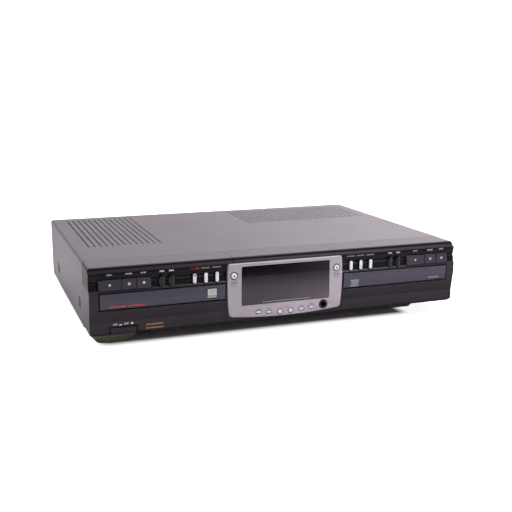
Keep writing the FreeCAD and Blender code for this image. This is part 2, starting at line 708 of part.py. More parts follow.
def make_pill_key(x):
    """Narrow upright key with a round head."""
    z = (KEY_Z0 + KEY_Z1) / 2
    cap = pill_column(x, -PILL_PROUD, KEY_FLANGE_Y + KEY_FLANGE_THICKNESS / 2, z, PILL_WIDTH, PILL_HEIGHT)
    cap = softened(cap, PILL_EDGE, lambda c: c.y < -PILL_PROUD + 0.01)
    return fused([cap] + key_flange_and_stem(x, z, PILL_WIDTH / 2 + KEY_FLANGE_LAP,
                                             PILL_HEIGHT / 2 + KEY_FLANGE_LAP, 2.0, KEY_FLANGE_Y,
                                             STEM_END_Y, KEY_STEM_RADIUS))


def make_power_button():
    start, end = power_span()
    low = FOOT_HEIGHT + POWER_RISE
    high = low + POWER_HEIGHT
    inner_low = FOOT_HEIGHT + FASCIA_WALL + PART_GAP
    cap = box(start, end, -CHIN - POWER_PROUD - 0.3, FASCIA_INNER_Y - 0.6, low, high)
    cap = softened(cap, POWER_EDGE, lambda c: c.y < 0)
    core = box(start, end, FASCIA_INNER_Y - 1, KEY_FLANGE_Y + KEY_FLANGE_THICKNESS, inner_low, high)
    flange = box(start - POWER_GAP_TOP - KEY_FLANGE_LAP, end + POWER_GAP_TOP + KEY_FLANGE_LAP,
                 KEY_FLANGE_Y, KEY_FLANGE_Y + KEY_FLANGE_THICKNESS, inner_low,
                 high + POWER_GAP_TOP + KEY_FLANGE_LAP)
    stem = rod_y((start + end) / 2, KEY_FLANGE_Y, POWER_STEM_END_Y, (inner_low + high) / 2,
                 KEY_STEM_RADIUS)
    return fused([cap, core, flange, stem])


def eject_spots():
    z = BEZEL_Z1 - EJECT_DROP
    return {name: (deck_side(name) * (BEZEL_WIDTH / 2 - EJECT_INSET), z) for name in DECKS}


def make_centre_bezel():
    body = bezel_block(-BEZEL_PROUD, BEZEL_SEAT_Y)
    body = softened(body, BEZEL_EDGE, lambda c: c.y < -BEZEL_PROUD + 0.01)
    body = body.cut(bezel_block(BEZEL_BACK_Y, BEZEL_SEAT_Y + 1, -BEZEL_SKIRT))
    front = -BEZEL_PROUD - 1
    openings = [window_block(front, BEZEL_BACK_Y + 1, 0, 0)]
    for x, z in eject_spots().values():
        openings.append(rod_y(x, front, BEZEL_BACK_Y + 1, z, EJECT_RADIUS + EJECT_RING))
    for name, x, shape in menu_keys():
        z = menu_key_z(x)
        if shape == "round":
            openings.append(rod_y(x, front, BEZEL_BACK_Y + 1, z, MENU_ROUND_RADIUS + MENU_RING))
        else:
            openings.append(pill_column(x, front, BEZEL_BACK_Y + 1, z, MENU_PILL_WIDTH,
                                        MENU_PILL_HEIGHT, MENU_RING))
    openings.append(rod_y(JACK_X, front, BEZEL_BACK_Y + 1, JACK_Z, JACK_RING_RADIUS + SEAT_GAP))
    return body.cut(openings)


def make_display_window():
    pane = window_block(WINDOW_SINK - BEZEL_PROUD, BEZEL_BACK_Y, -SEAT_GAP, -SEAT_GAP)
    flange = window_block(BEZEL_BACK_Y, BEZEL_BACK_Y + WINDOW_FLANGE, WINDOW_LAP, WINDOW_LAP)
    return fused([pane, flange])


def make_eject_button(x, z):
    flange_y = BEZEL_BACK_Y + KEY_FLANGE_GAP
    cap = rod_y(x, -BEZEL_PROUD - EJECT_PROUD, flange_y + 0.5, z, EJECT_RADIUS)
    cap = softened(cap, PILL_EDGE, lambda c: c.y < -BEZEL_PROUD)
    flange = rod_y(x, flange_y, flange_y + KEY_FLANGE_THICKNESS, z, EJECT_RADIUS + EJECT_RING + 0.4)
    stem = rod_y(x, flange_y, STEM_END_Y, z, KEY_STEM_RADIUS)
    return fused([cap, flange, stem])


def make_menu_key(x, shape):
    z = menu_key_z(x)
    flange_y = BEZEL_BACK_Y + KEY_FLANGE_GAP
    front = -BEZEL_PROUD - MENU_PROUD
    lap = MENU_RING + 0.4
    if shape == "round":
        cap = rod_y(x, front, flange_y + 0.5, z, MENU_ROUND_RADIUS)
        flange = rod_y(x, flange_y, flange_y + KEY_FLANGE_THICKNESS, z, MENU_ROUND_RADIUS + lap)
    else:
        cap = pill_column(x, front, flange_y + 0.5, z, MENU_PILL_WIDTH, MENU_PILL_HEIGHT)
        flange = pill_column(x, flange_y, flange_y + KEY_FLANGE_THICKNESS, z, MENU_PILL_WIDTH,
                             MENU_PILL_HEIGHT, lap)
    cap = softened(cap, PILL_EDGE / 2, lambda c: c.y < front + 0.01)
    stem = rod_y(x, flange_y, STEM_END_Y, z, MENU_PILL_HEIGHT / 2)
    return fused([cap, flange, stem])


def make_headphone_socket():
    ring = rod_y(JACK_X, -BEZEL_PROUD - JACK_PROUD, BEZEL_BACK_Y + SEAT_GAP, JACK_Z, JACK_RING_RADIUS)
    ring = softened(ring, JACK_PROUD / 2, lambda c: c.y < -BEZEL_PROUD)
    neck = rod_y(JACK_X, BEZEL_BACK_Y, JACK_BODY_Y0 + 1, JACK_Z, JACK_NECK_RADIUS)
    half = JACK_BODY / 2
    body = box(JACK_X - half, JACK_X + half, JACK_BODY_Y0, JACK_BODY_Y1, JACK_Z - half, JACK_Z + half)
    front = -BEZEL_PROUD - JACK_PROUD
    bore = rod_y(JACK_X, front - 1, front + JACK_BORE_LENGTH, JACK_Z, JACK_BORE_RADIUS)
    return fused([ring, neck, body]).cut(bore)


def make_front_board():
    """Upright board with the key strip above the drawers, the display tube and the switches."""
    centre_half = BEZEL_WIDTH / 2 - EJECT_INSET - 2
    strip_z0 = DRAWER_Z1 + DRAWER_CLEARANCE + 1.5
    top = TOP_Z - FASCIA_WALL - 2
    rear = FRONT_BOARD_Y + BOARD
    strip_half = HALF - FASCIA_WALL - CORNER_BLOCK - 1
    strip = box(-strip_half, strip_half, FRONT_BOARD_Y, rear, strip_z0, top)
    low = FOOT_HEIGHT + FASCIA_WALL + 2
    centre = box(-centre_half, centre_half, FRONT_BOARD_Y, rear, low, top)
    hole = JACK_BODY / 2 + PART_GAP
    jack_hole = box(JACK_X - hole, JACK_X + hole, FRONT_BOARD_Y - 1, rear + 1, JACK_Z - hole,
                    JACK_Z + hole)
    board = fused([strip, centre]).cut(jack_hole)

    tube_z = (WINDOW_Z0 + WINDOW_Z1) / 2
    tube_half = WINDOW_WIDTH / 2 - DISPLAY_TUBE_MARGIN
    tube_rise = (WINDOW_Z1 - WINDOW_Z0) / 2 - DISPLAY_TUBE_MARGIN
    tube = box(-tube_half, tube_half, FRONT_BOARD_Y - DISPLAY_TUBE_THICKNESS, FRONT_BOARD_Y,
               tube_z - tube_rise, tube_z + tube_rise)

    start, end = power_span()
    power_low = FOOT_HEIGHT + FASCIA_WALL + 0.5
    power_board = box(start - 7, end + 7, FRONT_BOARD_Y, rear, power_low, power_low + 13)

    key_z = (KEY_Z0 + KEY_Z1) / 2
    spots = []
    for name in DECKS:
        spots += [((x0 + x1) / 2, key_z) for x0, x1 in key_block_spans(name).values()]
        spots += [(x, key_z) for x in skip_key_spots(name).values()]
        spots += [(x, key_z) for x in pill_key_spots(name).values()]
    spots += list(eject_spots().values())
    spots += [(x, menu_key_z(x)) for name, x, shape in menu_keys()]
    spots.append(((start + end) / 2, FOOT_HEIGHT + FASCIA_WALL + PART_GAP + SWITCH_SIZE / 2 + 0.5))
    half = SWITCH_SIZE / 2
    switches = [box(x - half, x + half, SWITCH_FACE_Y, FRONT_BOARD_Y, z - half, z + half)
                for x, z in spots]
    return [board, tube, power_board] + switches


def dimple_spots():
    return [(side, y) for side in (-1, 1) for y in DIMPLE_SPOTS_Y]


def slot_row(first_x, count, y0):
    y1 = BODY_DEPTH - SLOT_REAR_MARGIN
    return [slab_z(first_x + index * SLOT_PITCH - SLOT_WIDTH / 2, first_x + index * SLOT_PITCH + SLOT_WIDTH / 2,
                   y0, y1, TOP_Z - 2 * SHEET, TOP_Z + SHEET, SLOT_WIDTH / 2 - 0.01)
            for index in range(count)]


def rear_lip_screw_spots():
    """X of the three screws that hold the cover's rear lip."""
    return (-HALF + 32.5, 0.0, HALF - 32.5)


def make_top_cover():
    """One bent sheet: top, two sides with a hem, and a lip turned down at the back."""
    low = FOOT_HEIGHT + PART_GAP
    outer = box(-HALF, HALF, COVER_Y0, BODY_DEPTH, low, TOP_Z)
    along = V(0, 1, 0)
    outer = outer.makeFillet(COVER_EDGE_RADIUS, edges_along(outer, along, lambda c: c.z > DRAWER_Z1))
    inner = box(-HALF + SHEET, HALF - SHEET, COVER_Y0 - 1, BODY_DEPTH + 1, low - 1, TOP_Z - SHEET)
    inner = inner.makeFillet(COVER_EDGE_RADIUS - SHEET,
                             edges_along(inner, along, lambda c: c.z > DRAWER_Z1))
    cover = outer.cut(inner)
    lip_half = HALF - COVER_EDGE_RADIUS - 1
    extras = [box(-lip_half, lip_half, BODY_DEPTH - SHEET, BODY_DEPTH, TOP_Z - COVER_REAR_LIP,
                  TOP_Z - SHEET / 2)]
    for side in (-1, 1):
        extras.append(box(min(side * HALF, side * (HALF - COVER_HEM)),
                          max(side * HALF, side * (HALF - COVER_HEM)),
                          COVER_Y0, BODY_DEPTH - 3 * SHEET, low, low + SHEET))
    z = FOOT_HEIGHT + DIMPLE_RISE
    for side, y in dimple_spots():
        extras.append(Part.makeCone(DIMPLE_RADIUS + SHEET, DIMPLE_FLOOR_RADIUS + SHEET, DIMPLE_DEPTH,
                                    V(side * (HALF - SHEET), y, z), V(-side, 0, 0)))
    cover = cover.multiFuse(extras)
    cuts = slot_row(-HALF + LEFT_SLOT_MARGIN, LEFT_SLOT_COUNT, LEFT_SLOT_Y0)
    cuts += slot_row(HALF - LEFT_SLOT_MARGIN - (RIGHT_SLOT_COUNT - 1) * SLOT_PITCH, RIGHT_SLOT_COUNT,
                     RIGHT_SLOT_Y0)
    for side, y in dimple_spots():
        cuts.append(Part.makeCone(DIMPLE_RADIUS, DIMPLE_FLOOR_RADIUS, DIMPLE_DEPTH,
                                  V(side * HALF, y, z), V(-side, 0, 0)))
        cuts.append(rod_x(min(side * HALF, side * (HALF - 8)), max(side * HALF, side * (HALF - 8)), y, z,
                          SCREW_RADIUS + SCREW_CLEARANCE))
    for x in rear_lip_screw_spots():
        cuts.append(rod_y(x, BODY_DEPTH - 2 * SHEET, BODY_DEPTH + 1, TOP_Z - COVER_REAR_LIP / 2,
                          SCREW_RADIUS + SCREW_CLEARANCE))
    return cover.cut(cuts)


def board_spots():
    """Corners of the two flat boards: x0, x1, y0, y1."""
    power_half = DECK_X - LOADER_OUTER - POWER_BOARD_MARGIN
    return {
        "main_board": (-HALF + MAIN_BOARD_MARGIN, -HALF + MAIN_BOARD_MARGIN + MAIN_BOARD_WIDTH,
                       LOADER_Y1 + MAIN_BOARD_MARGIN, REAR_PANEL_Y0 - REAR_TAB + 1),
        "power_supply_board": (-power_half, power_half, POWER_BOARD_Y0, LOADER_Y1 - 3),
    }


def board_hole_spots(name):
    x0, x1, y0, y1 = board_spots()[name]
    inset = BOARD_HOLE_INSET
    return [(x, y) for x in (x0 + inset, x1 - inset) for y in (y0 + inset, y1 - inset)]


def leg_spots():
    """X and Y of the eight loader legs."""
    reach = LOADER_OUTER - LOADER_LEG_INSET
    return [(centre + side * reach, y) for centre in DECKS.values() for side in (-1, 1)
            for y in (COVER_Y0 + LOADER_LEG_SETBACK, LOADER_Y1 - LOADER_LEG_INSET)]


def foot_spots():
    """X and Y of the middle of each foot."""
    half = FOOT_LENGTH / 2
    rear = BODY_DEPTH - REAR_FOOT_MARGIN - half
    left = -HALF + LEFT_FOOT_INSET + FOOT_WIDTH / 2
    right = HALF - RIGHT_FOOT_INSET - FOOT_WIDTH / 2
    return [(left, LEFT_FOOT_Y + half), (right, RIGHT_FOOT_Y + half), (left, rear), (-left, rear)]


def make_base_chassis():
    """Bent pan with side flanges, and the front frame that is welded on it."""
    y0 = FASCIA_DEPTH + PART_GAP
    floor = box(-SIDE_FLANGE_X, SIDE_FLANGE_X, y0, REAR_PANEL_Y0, FOOT_HEIGHT, BASE_TOP)
    pieces = [floor]
    for side in (-1, 1):
        inner, outer = sorted((side * SIDE_FLANGE_X, side * (SIDE_FLANGE_X - SHEET)))
        pieces.append(box(inner, outer, y0 + SIDE_FLANGE_SETBACK, REAR_PANEL_Y0 - SHEET, FOOT_HEIGHT,
                          BASE_TOP + SIDE_FLANGE_HEIGHT))
    reach = HALF - SHEET - PART_GAP
    frame_low = BASE_TOP + 2 * PART_GAP
    strip = box(-SIDE_FLANGE_X, SIDE_FLANGE_X, y0, y0 + SHEET, BASE_TOP, frame_low + SHEET)
    frame = slab_y(-reach, reach, y0, y0 + SHEET, frame_low, TOP_Z - SHEET - PART_GAP, COVER_EDGE_RADIUS)
    low = LOADER_PLATE_Z0 - 8
    for centre in DECKS.values():
        half = LOADER_OUTER + 1
        frame = frame.cut(box(centre - half, centre + half, y0 - 1, y0 + SHEET + 1, low - 2,
                              LOADER_TOP_Z + 8))
    centre_half = DECK_X - LOADER_OUTER - 12
    frame = frame.cut(box(-centre_half, centre_half, y0 - 1, y0 + SHEET + 1, low, TOP_Z - 14))
    pan = fused(pieces)
    frame = fused([strip, frame])
    cuts = [rod_z(x, y, FOOT_HEIGHT - 1, BASE_TOP + 1, SCREW_RADIUS + SCREW_CLEARANCE)
            for x, y in leg_spots() + foot_spots()]
    z = FOOT_HEIGHT + DIMPLE_RISE
    for side, y in dimple_spots():
        inner, outer = sorted((side * (SIDE_FLANGE_X + 1), side * (SIDE_FLANGE_X - 3)))
        cuts.append(rod_x(inner, outer, y, z, SCREW_RADIUS))
    holes = [rod_y(x, y0 - 1, y0 + SHEET + 1, z, SCREW_RADIUS + SCREW_CLEARANCE)
             for x, z in corner_screw_spots()]
    return [pan.cut(cuts), frame.cut(holes)]


def socket_spots():
    """X and Z of the round signal sockets: two high in each group."""
    low = BASE_TOP + BOARD_BOSS_HEIGHT + BOARD + SOCKET_RISE / 2
    return [(x + column * SOCKET_PITCH, low + row * SOCKET_PITCH) for x in SOCKET_GROUPS_X
            for column in (0, 1) for row in (0, 1)]


def make_rear_panel():
    reach = HALF - SHEET - PART_GAP
    panel = box(-reach, reach, REAR_PANEL_Y0, REAR_PANEL_Y1, FOOT_HEIGHT, TOP_Z - SHEET - PART_GAP)
    panel = panel.makeFillet(COVER_EDGE_RADIUS, edges_along(panel, V(0, 1, 0), lambda c: c.z > DRAWER_Z1))
    inner = SIDE_FLANGE_X - SHEET - PART_GAP
    tab = box(-inner, inner, REAR_PANEL_Y0 - REAR_TAB, REAR_PANEL_Y0 + SHEET / 2, BASE_TOP,
              BASE_TOP + SHEET)
    cuts = [rod_y(x, REAR_PANEL_Y0 - 1, REAR_PANEL_Y1 + 1, z, SOCKET_BARREL_RADIUS + PART_GAP)
            for x, z in socket_spots()]
    z = optical_z()
    half = OPTICAL_SIZE / 2 + PART_GAP
    for x in OPTICAL_X:
        cuts.append(box(x - half, x + half, REAR_PANEL_Y0 - 1, REAR_PANEL_Y1 + 1, z - half, z + half))
    half_width = INLET_WIDTH / 2 + PART_GAP
    half_height = INLET_HEIGHT / 2 + PART_GAP
    z = FOOT_HEIGHT + INLET_RISE
    cuts.append(box(INLET_X - half_width, INLET_X + half_width, REAR_PANEL_Y0 - 1, REAR_PANEL_Y1 + 1,
                    z - half_height, z + half_height))
    for x in rear_lip_screw_spots():
        cuts.append(rod_y(x, REAR_PANEL_Y0 - 1, REAR_PANEL_Y1 + 1, TOP_Z - COVER_REAR_LIP / 2, SCREW_RADIUS))
    return fused([panel, tab]).cut(cuts)


def optical_z():
    return BASE_TOP + BOARD_BOSS_HEIGHT + BOARD + OPTICAL_SIZE / 2


def make_rear_sockets():
    """Round signal sockets in blocks of four, and two square light-fibre ports."""
    board_top = BASE_TOP + BOARD_BOSS_HEIGHT + BOARD
    y0 = REAR_PANEL_Y0 - SOCKET_BODY_DEPTH
    solids = []
    for x in SOCKET_GROUPS_X:
        margin = SOCKET_BARREL_RADIUS + 1.5
        block = box(x - margin, x + SOCKET_PITCH + margin, y0, REAR_PANEL_Y0 - SEAT_GAP, board_top,
                    board_top + SOCKET_RISE / 2 + SOCKET_PITCH + margin)
        spots = [spot for spot in socket_spots() if 0 <= spot[0] - x <= SOCKET_PITCH]
        barrels = [rod_y(sx, REAR_PANEL_Y0 - 1, REACH_REAR, sz, SOCKET_BARREL_RADIUS) for sx, sz in spots]
        bores = [rod_y(sx, REACH_REAR - SOCKET_BARREL_LENGTH, REACH_REAR + 1, sz, SOCKET_BORE_RADIUS)
                 for sx, sz in spots]
        solids.append(fused([block] + barrels).cut(bores))
    half = OPTICAL_SIZE / 2
    port = OPTICAL_PORT / 2
    z = optical_z()
    for x in OPTICAL_X:
        body = box(x - half, x + half, y0, REAR_PANEL_Y1 + SHEET, z - half, z + half)
        solids.append(body.cut(box(x - port, x + port, REAR_PANEL_Y1 - 5, REAR_PANEL_Y1 + 2 * SHEET,
                                   z - port, z + port)))
    return solids


def make_mains_inlet():
    """Two-pin appliance inlet: a flanged housing with an open cavity and two pins."""
    z = FOOT_HEIGHT + INLET_RISE
    half_width = INLET_WIDTH / 2
    half_height = INLET_HEIGHT / 2
    front = REAR_PANEL_Y1 + 1.5 * SHEET
    rear = front - INLET_CAVITY_DEPTH - 3
    body = box(INLET_X - half_width, INLET_X + half_width, rear, front, z - half_height, z + half_height)
    flange = slab_y(INLET_X - half_width - INLET_FLANGE, INLET_X + half_width + INLET_FLANGE, REAR_PANEL_Y1,
                    front, z - half_height - INLET_FLANGE, z + half_height + INLET_FLANGE, INLET_FLANGE)
    cavity = slab_y(INLET_X - INLET_CAVITY_WIDTH / 2, INLET_X + INLET_CAVITY_WIDTH / 2,
                    front - INLET_CAVITY_DEPTH, front + 1, z - INLET_CAVITY_HEIGHT / 2,
                    z + INLET_CAVITY_HEIGHT / 2, INLET_CAVITY_HEIGHT / 2)
    housing = fused([body, flange]).cut(cavity)
    pins = [rod_y(INLET_X + side * INLET_PIN_SPREAD, front - INLET_CAVITY_DEPTH - 1,
                  front - INLET_CAVITY_DEPTH + INLET_PIN_LENGTH, z, INLET_PIN_RADIUS) for side in (-1, 1)]
    return fused([housing] + pins)


def board_plate(name):
    x0, x1, y0, y1 = board_spots()[name]
    z0 = BASE_TOP + BOARD_BOSS_HEIGHT
    plate = box(x0, x1, y0, y1, z0, z0 + BOARD)
    holes = [rod_z(x, y, z0 - 1, z0 + BOARD + 1, BOARD_PIN_RADIUS + BOARD_PIN_CLEARANCE)
             for x, y in board_hole_spots(name)]
    return plate.cut(holes)


def make_main_board():
    x0, x1, y0, y1 = board_spots()["main_board"]
    z = BASE_TOP + BOARD_BOSS_HEIGHT + BOARD
    solids = [board_plate("main_board")]
    chip_y = y0 + CHIP_SIZE
    pitch = (x1 - x0) / CHIP_COUNT
    half = CHIP_SIZE / 2
    for index in range(CHIP_COUNT):
        x = x0 + (index + 0.5) * pitch
        solids.append(box(x - half, x + half, chip_y - half, chip_y + half, z, z + CHIP_THICKNESS))
        solids.append(rod_z(x + 0.4 * pitch, chip_y, z, z + SMALL_CAPACITOR_HEIGHT, SMALL_CAPACITOR_RADIUS))
    return solids


def transformer_spot():
    """Middle of the transformer on the power supply board."""
    x0, x1, y0, y1 = board_spots()["power_supply_board"]
    return x1 - 0.65 * CORE_WIDTH, y1 - 1.7 * CORE_STACK


def make_power_supply_board():
    x0, x1, y0, y1 = board_spots()["power_supply_board"]
    z = BASE_TOP + BOARD_BOSS_HEIGHT + BOARD
    solids = [board_plate("power_supply_board")]
    for index in range(LARGE_CAPACITOR_COUNT):
        x = x0 + (index + 1) * 3 * LARGE_CAPACITOR_RADIUS
        solids.append(rod_z(x, y0 + 3 * LARGE_CAPACITOR_RADIUS, z, z + LARGE_CAPACITOR_HEIGHT,
                            LARGE_CAPACITOR_RADIUS))
    sink_x = x0 + 3 * HEAT_SINK_THICKNESS
    sink_y = y1 - HEAT_SINK_LENGTH - 5 * HEAT_SINK_THICKNESS
    solids.append(box(sink_x, sink_x + HEAT_SINK_THICKNESS, sink_y, sink_y + HEAT_SINK_LENGTH, z,
                      z + HEAT_SINK_HEIGHT))
    return solids


def make_transformer():
    """Laminated core with two windows, and the coil round its middle limb."""
    x, y = transformer_spot()
    z = BASE_TOP + BOARD_BOSS_HEIGHT + BOARD
    half = CORE_WIDTH / 2
    core = box(x - half, x + half, y - CORE_STACK / 2, y + CORE_STACK / 2, z, z + CORE_HEIGHT)
    windows = []
    for side in (-1, 1):
        near, far = sorted((x + side * CORE_LIMB, x + side * (half - CORE_LIMB)))
        windows.append(box(near, far, y - CORE_STACK, y + CORE_STACK, z + CORE_LIMB,
                           z + CORE_HEIGHT - CORE_LIMB))
    core = core.cut(windows)
    reach = half - CORE_LIMB - COIL_CLEARANCE
    depth = CORE_STACK / 2 + COIL_WALL
    coil = slab_z(x - reach, x + reach, y - depth, y + depth, z + CORE_LIMB + COIL_CLEARANCE,
                  z + CORE_HEIGHT - CORE_LIMB - COIL_CLEARANCE, COIL_WALL / 2)
    return [core, coil.cut(box(x - CORE_LIMB, x + CORE_LIMB, y - CORE_STACK / 2, y + CORE_STACK / 2, z,
                               z + CORE_HEIGHT))]


def make_feet():
    """Four blocks that flare out above the floor, each with a hollow for its screw."""
    solids = []
    for x, y in foot_spots():
        rings = []
        for z, grow in ((0, 0), (FOOT_FLARE_HEIGHT, FOOT_FLARE), (FOOT_HEIGHT, FOOT_FLARE)):
            half_x = FOOT_WIDTH / 2 + grow
            half_y = FOOT_LENGTH / 2 + grow * 0.3
            block = slab_z(x - half_x, x + half_x, y - half_y, y + half_y, z, z + 1, FOOT_CORNER)
            rings.append(min(block.Faces, key=lambda face: face.CenterOfMass.z).OuterWire)
        foot = Part.makeLoft(rings[:2], True).fuse(Part.makeLoft(rings[1:], True)).removeSplitter()
        hollow = rod_z(x, y, -1, FOOT_HEIGHT - 4, SCREW_HEAD_RADIUS + 2)
        hole = rod_z(x, y, -1, FOOT_HEIGHT + 1, SCREW_RADIUS + SCREW_CLEARANCE)
        solids.append(foot.cut([hollow, hole]))
    return solids


def screw(head_seat, direction, length=SCREW_LENGTH):
    """Pan-head screw: its head stands on the seat and its shank runs along the direction."""
    head = Part.makeCylinder(SCREW_HEAD_RADIUS, SCREW_HEAD_HEIGHT, head_seat, direction * -1)
    crown = [edge for edge in head.Edges
             if abs((edge.CenterOfMass - head_seat).dot(direction) + SCREW_HEAD_HEIGHT) < 1e-6]
    head = head.makeFillet(SCREW_HEAD_HEIGHT * 0.4, crown)
    slot_centre = head_seat - direction * SCREW_HEAD_HEIGHT
    shank = Part.makeCylinder(SCREW_RADIUS - RUNNING, length, head_seat, direction)
    recess = Part.makeCone(SCREW_RADIUS * 0.9, 0, SCREW_HEAD_HEIGHT * 0.7, slot_centre, direction)
    return head.fuse(shank).removeSplitter().cut(recess)


def make_standoffs():
    """Posts on the floor with a pin on top for each board's hole."""
    top = BASE_TOP + BOARD_BOSS_HEIGHT
    return [fused([rod_z(x, y, BASE_TOP, top, BOARD_BOSS_RADIUS),
                   rod_z(x, y, top - 1, top + 2 * BOARD, BOARD_PIN_RADIUS)])
            for name in board_spots() for x, y in board_hole_spots(name)]


def make_case_screws():
    screws = []
    z = FOOT_HEIGHT + DIMPLE_RISE
    floor_x = HALF - DIMPLE_DEPTH
    for side, y in dimple_spots():
        screws.append(screw(V(side * floor_x, y, z), V(-side, 0, 0), 7.0))
    for x in rear_lip_screw_spots():
        screws.append(screw(V(x, BODY_DEPTH, TOP_Z - COVER_REAR_LIP / 2), V(0, -1, 0)))
    for x, z in corner_screw_spots():
        screws.append(screw(V(x, FASCIA_DEPTH + PART_GAP + SHEET, z), V(0, -1, 0)))
    for x, y in leg_spots():
        screws.append(screw(V(x, y, FOOT_HEIGHT), V(0, 0, 1), 12.0))
    for x, y in foot_spots():
        screws.append(screw(V(x, y, FOOT_HEIGHT - 4), V(0, 0, 1), 4 + SHEET + 3))
    return screws


def gear_outline(teeth, module, thin):
    """Points of a spur gear: involute flanks from four radii, and a flat root between teeth."""
    pitch = module * teeth / 2
    base = pitch * math.cos(math.radians(PRESSURE_ANGLE))
    root = pitch - 1.25 * module
    tip = pitch + module
    radii = [max(base, root) + (tip - max(base, root)) * share for share in (0, 0.33, 0.67, 1)]

    def flank(radius):
        """Half of the tooth's angle at a radius."""
        def involute(r):
            pressure = math.acos(min(base / r, 1))
            return math.tan(pressure) - pressure
        half_pitch = (math.pi * module / 2 - thin) / (2 * pitch)
        return half_pitch + involute(pitch) - involute(radius)

    points = []
    for tooth in range(teeth):
        middle = 2 * math.pi * tooth / teeth
        rising = [(root, middle - flank(radii[0]))] + [(r, middle - flank(r)) for r in radii]
        falling = [(r, middle + flank(r)) for r in reversed(radii)] + [(root, middle + flank(radii[0]))]
        points += rising + falling
    return [(r * math.cos(a), r * math.sin(a)) for r, a in points]


def make_drive_gear(centre):
    """Gear that drives the rack, with the belt wheel under it, turning on the loader's pin."""
    x = centre + DRIVE_GEAR_X
    y = DRIVE_GEAR_Y
    z1 = TRAY_Z0 - PART_GAP
    z0 = z1 - DRIVE_GEAR_THICKNESS
    # A tooth gap faces the rack at rest, because the rack has a tooth there.
    turn = math.pi - math.pi / DRIVE_TEETH
    corners = []
    for px, py in gear_outline(DRIVE_TEETH, MODULE, BACKLASH):
        corners.append(V(x + px * math.cos(turn) - py * math.sin(turn),
                         y + px * math.sin(turn) + py * math.cos(turn), z0))
    gear = Part.Face(Part.makePolygon(corners + corners[:1])).extrude(V(0, 0, z1 - z0))
    wheel = pulley(x, y, BELT_WHEEL_RADIUS)
    hub = rod_z(x, y, pulley_z0() + PULLEY_THICKNESS - 0.5, z0 + 0.5, DRIVE_RADIUS / 2)
    bore = rod_z(x, y, pulley_z0() - 1, z1 + 1, DRIVE_PIN_RADIUS + RUNNING)
    return fused([gear, hub, wheel]).cut(bore)


def pulley_z0():
    """Underside of both belt wheels."""
    return LOADER_PLATE_Z1 + 5


def pulley(x, y, radius):
    """Wheel with a groove for the belt."""
    z0 = pulley_z0()
    rim = rod_z(x, y, z0, z0 + PULLEY_THICKNESS, radius)
    low = z0 + (PULLEY_THICKNESS - BELT_HEIGHT) / 2 - BELT_CLEARANCE
    groove = rod_z(x, y, low, low + BELT_HEIGHT + 2 * BELT_CLEARANCE, radius + 1).cut(
        rod_z(x, y, low - 1, low + BELT_HEIGHT + 1, radius - PULLEY_GROOVE))
    return rim.cut(groove)


def make_motor_pulley(centre):
    x = centre + MOTOR_X
    shaft = rod_z(x, DRIVE_GEAR_Y, LOADER_PLATE_Z0 - MOTOR_LENGTH / 2, pulley_z0() + PULLEY_THICKNESS,
                  MOTOR_SHAFT_RADIUS)
    return fused([pulley(x, DRIVE_GEAR_Y, MOTOR_PULLEY_RADIUS), shaft])


def make_loading_motor(centre):
    x = centre + MOTOR_X
    can = rod_z(x, DRIVE_GEAR_Y, LOADER_PLATE_Z0 - MOTOR_LENGTH, LOADER_PLATE_Z0, MOTOR_RADIUS)
    collar = rod_z(x, DRIVE_GEAR_Y, LOADER_PLATE_Z0 - 1, LOADER_PLATE_Z1 + 1, 3.0)
    bore = rod_z(x, DRIVE_GEAR_Y, LOADER_PLATE_Z0 - MOTOR_LENGTH / 2 - 1, LOADER_PLATE_Z1 + 2,
                 MOTOR_SHAFT_RADIUS + RUNNING)
    return fused([can, collar]).cut(bore)


def belt_outline(centre, big, small):
    """Open belt round both wheels: two tangent runs and two arcs, for the given radii."""
    x0 = centre + DRIVE_GEAR_X
    y = DRIVE_GEAR_Y
    z = pulley_z0() + (PULLEY_THICKNESS - BELT_HEIGHT) / 2
    lean = math.acos((big - small) / MOTOR_DISTANCE)
    x1 = x0 + MOTOR_DISTANCE

    def on(x, radius, angle):
        return V(x + radius * math.cos(angle), y + radius * math.sin(angle), z)

    return Part.Face(Part.Wire([
        Part.Arc(on(x0, big, lean), on(x0, big, math.pi), on(x0, big, -lean)).toShape(),
        line(on(x0, big, -lean), on(x1, small, -lean)),
        Part.Arc(on(x1, small, -lean), on(x1, small, 0), on(x1, small, lean)).toShape(),
        line(on(x1, small, lean), on(x0, big, lean)),
    ]))


def make_belt(centre):
    big = BELT_WHEEL_RADIUS - PULLEY_GROOVE + BELT_CLEARANCE
    small = MOTOR_PULLEY_RADIUS - PULLEY_GROOVE + BELT_CLEARANCE
    outer = belt_outline(centre, big + BELT_THICKNESS, small + BELT_THICKNESS)
    inner = belt_outline(centre, big, small)
    return outer.cut(inner).extrude(V(0, 0, BELT_HEIGHT))


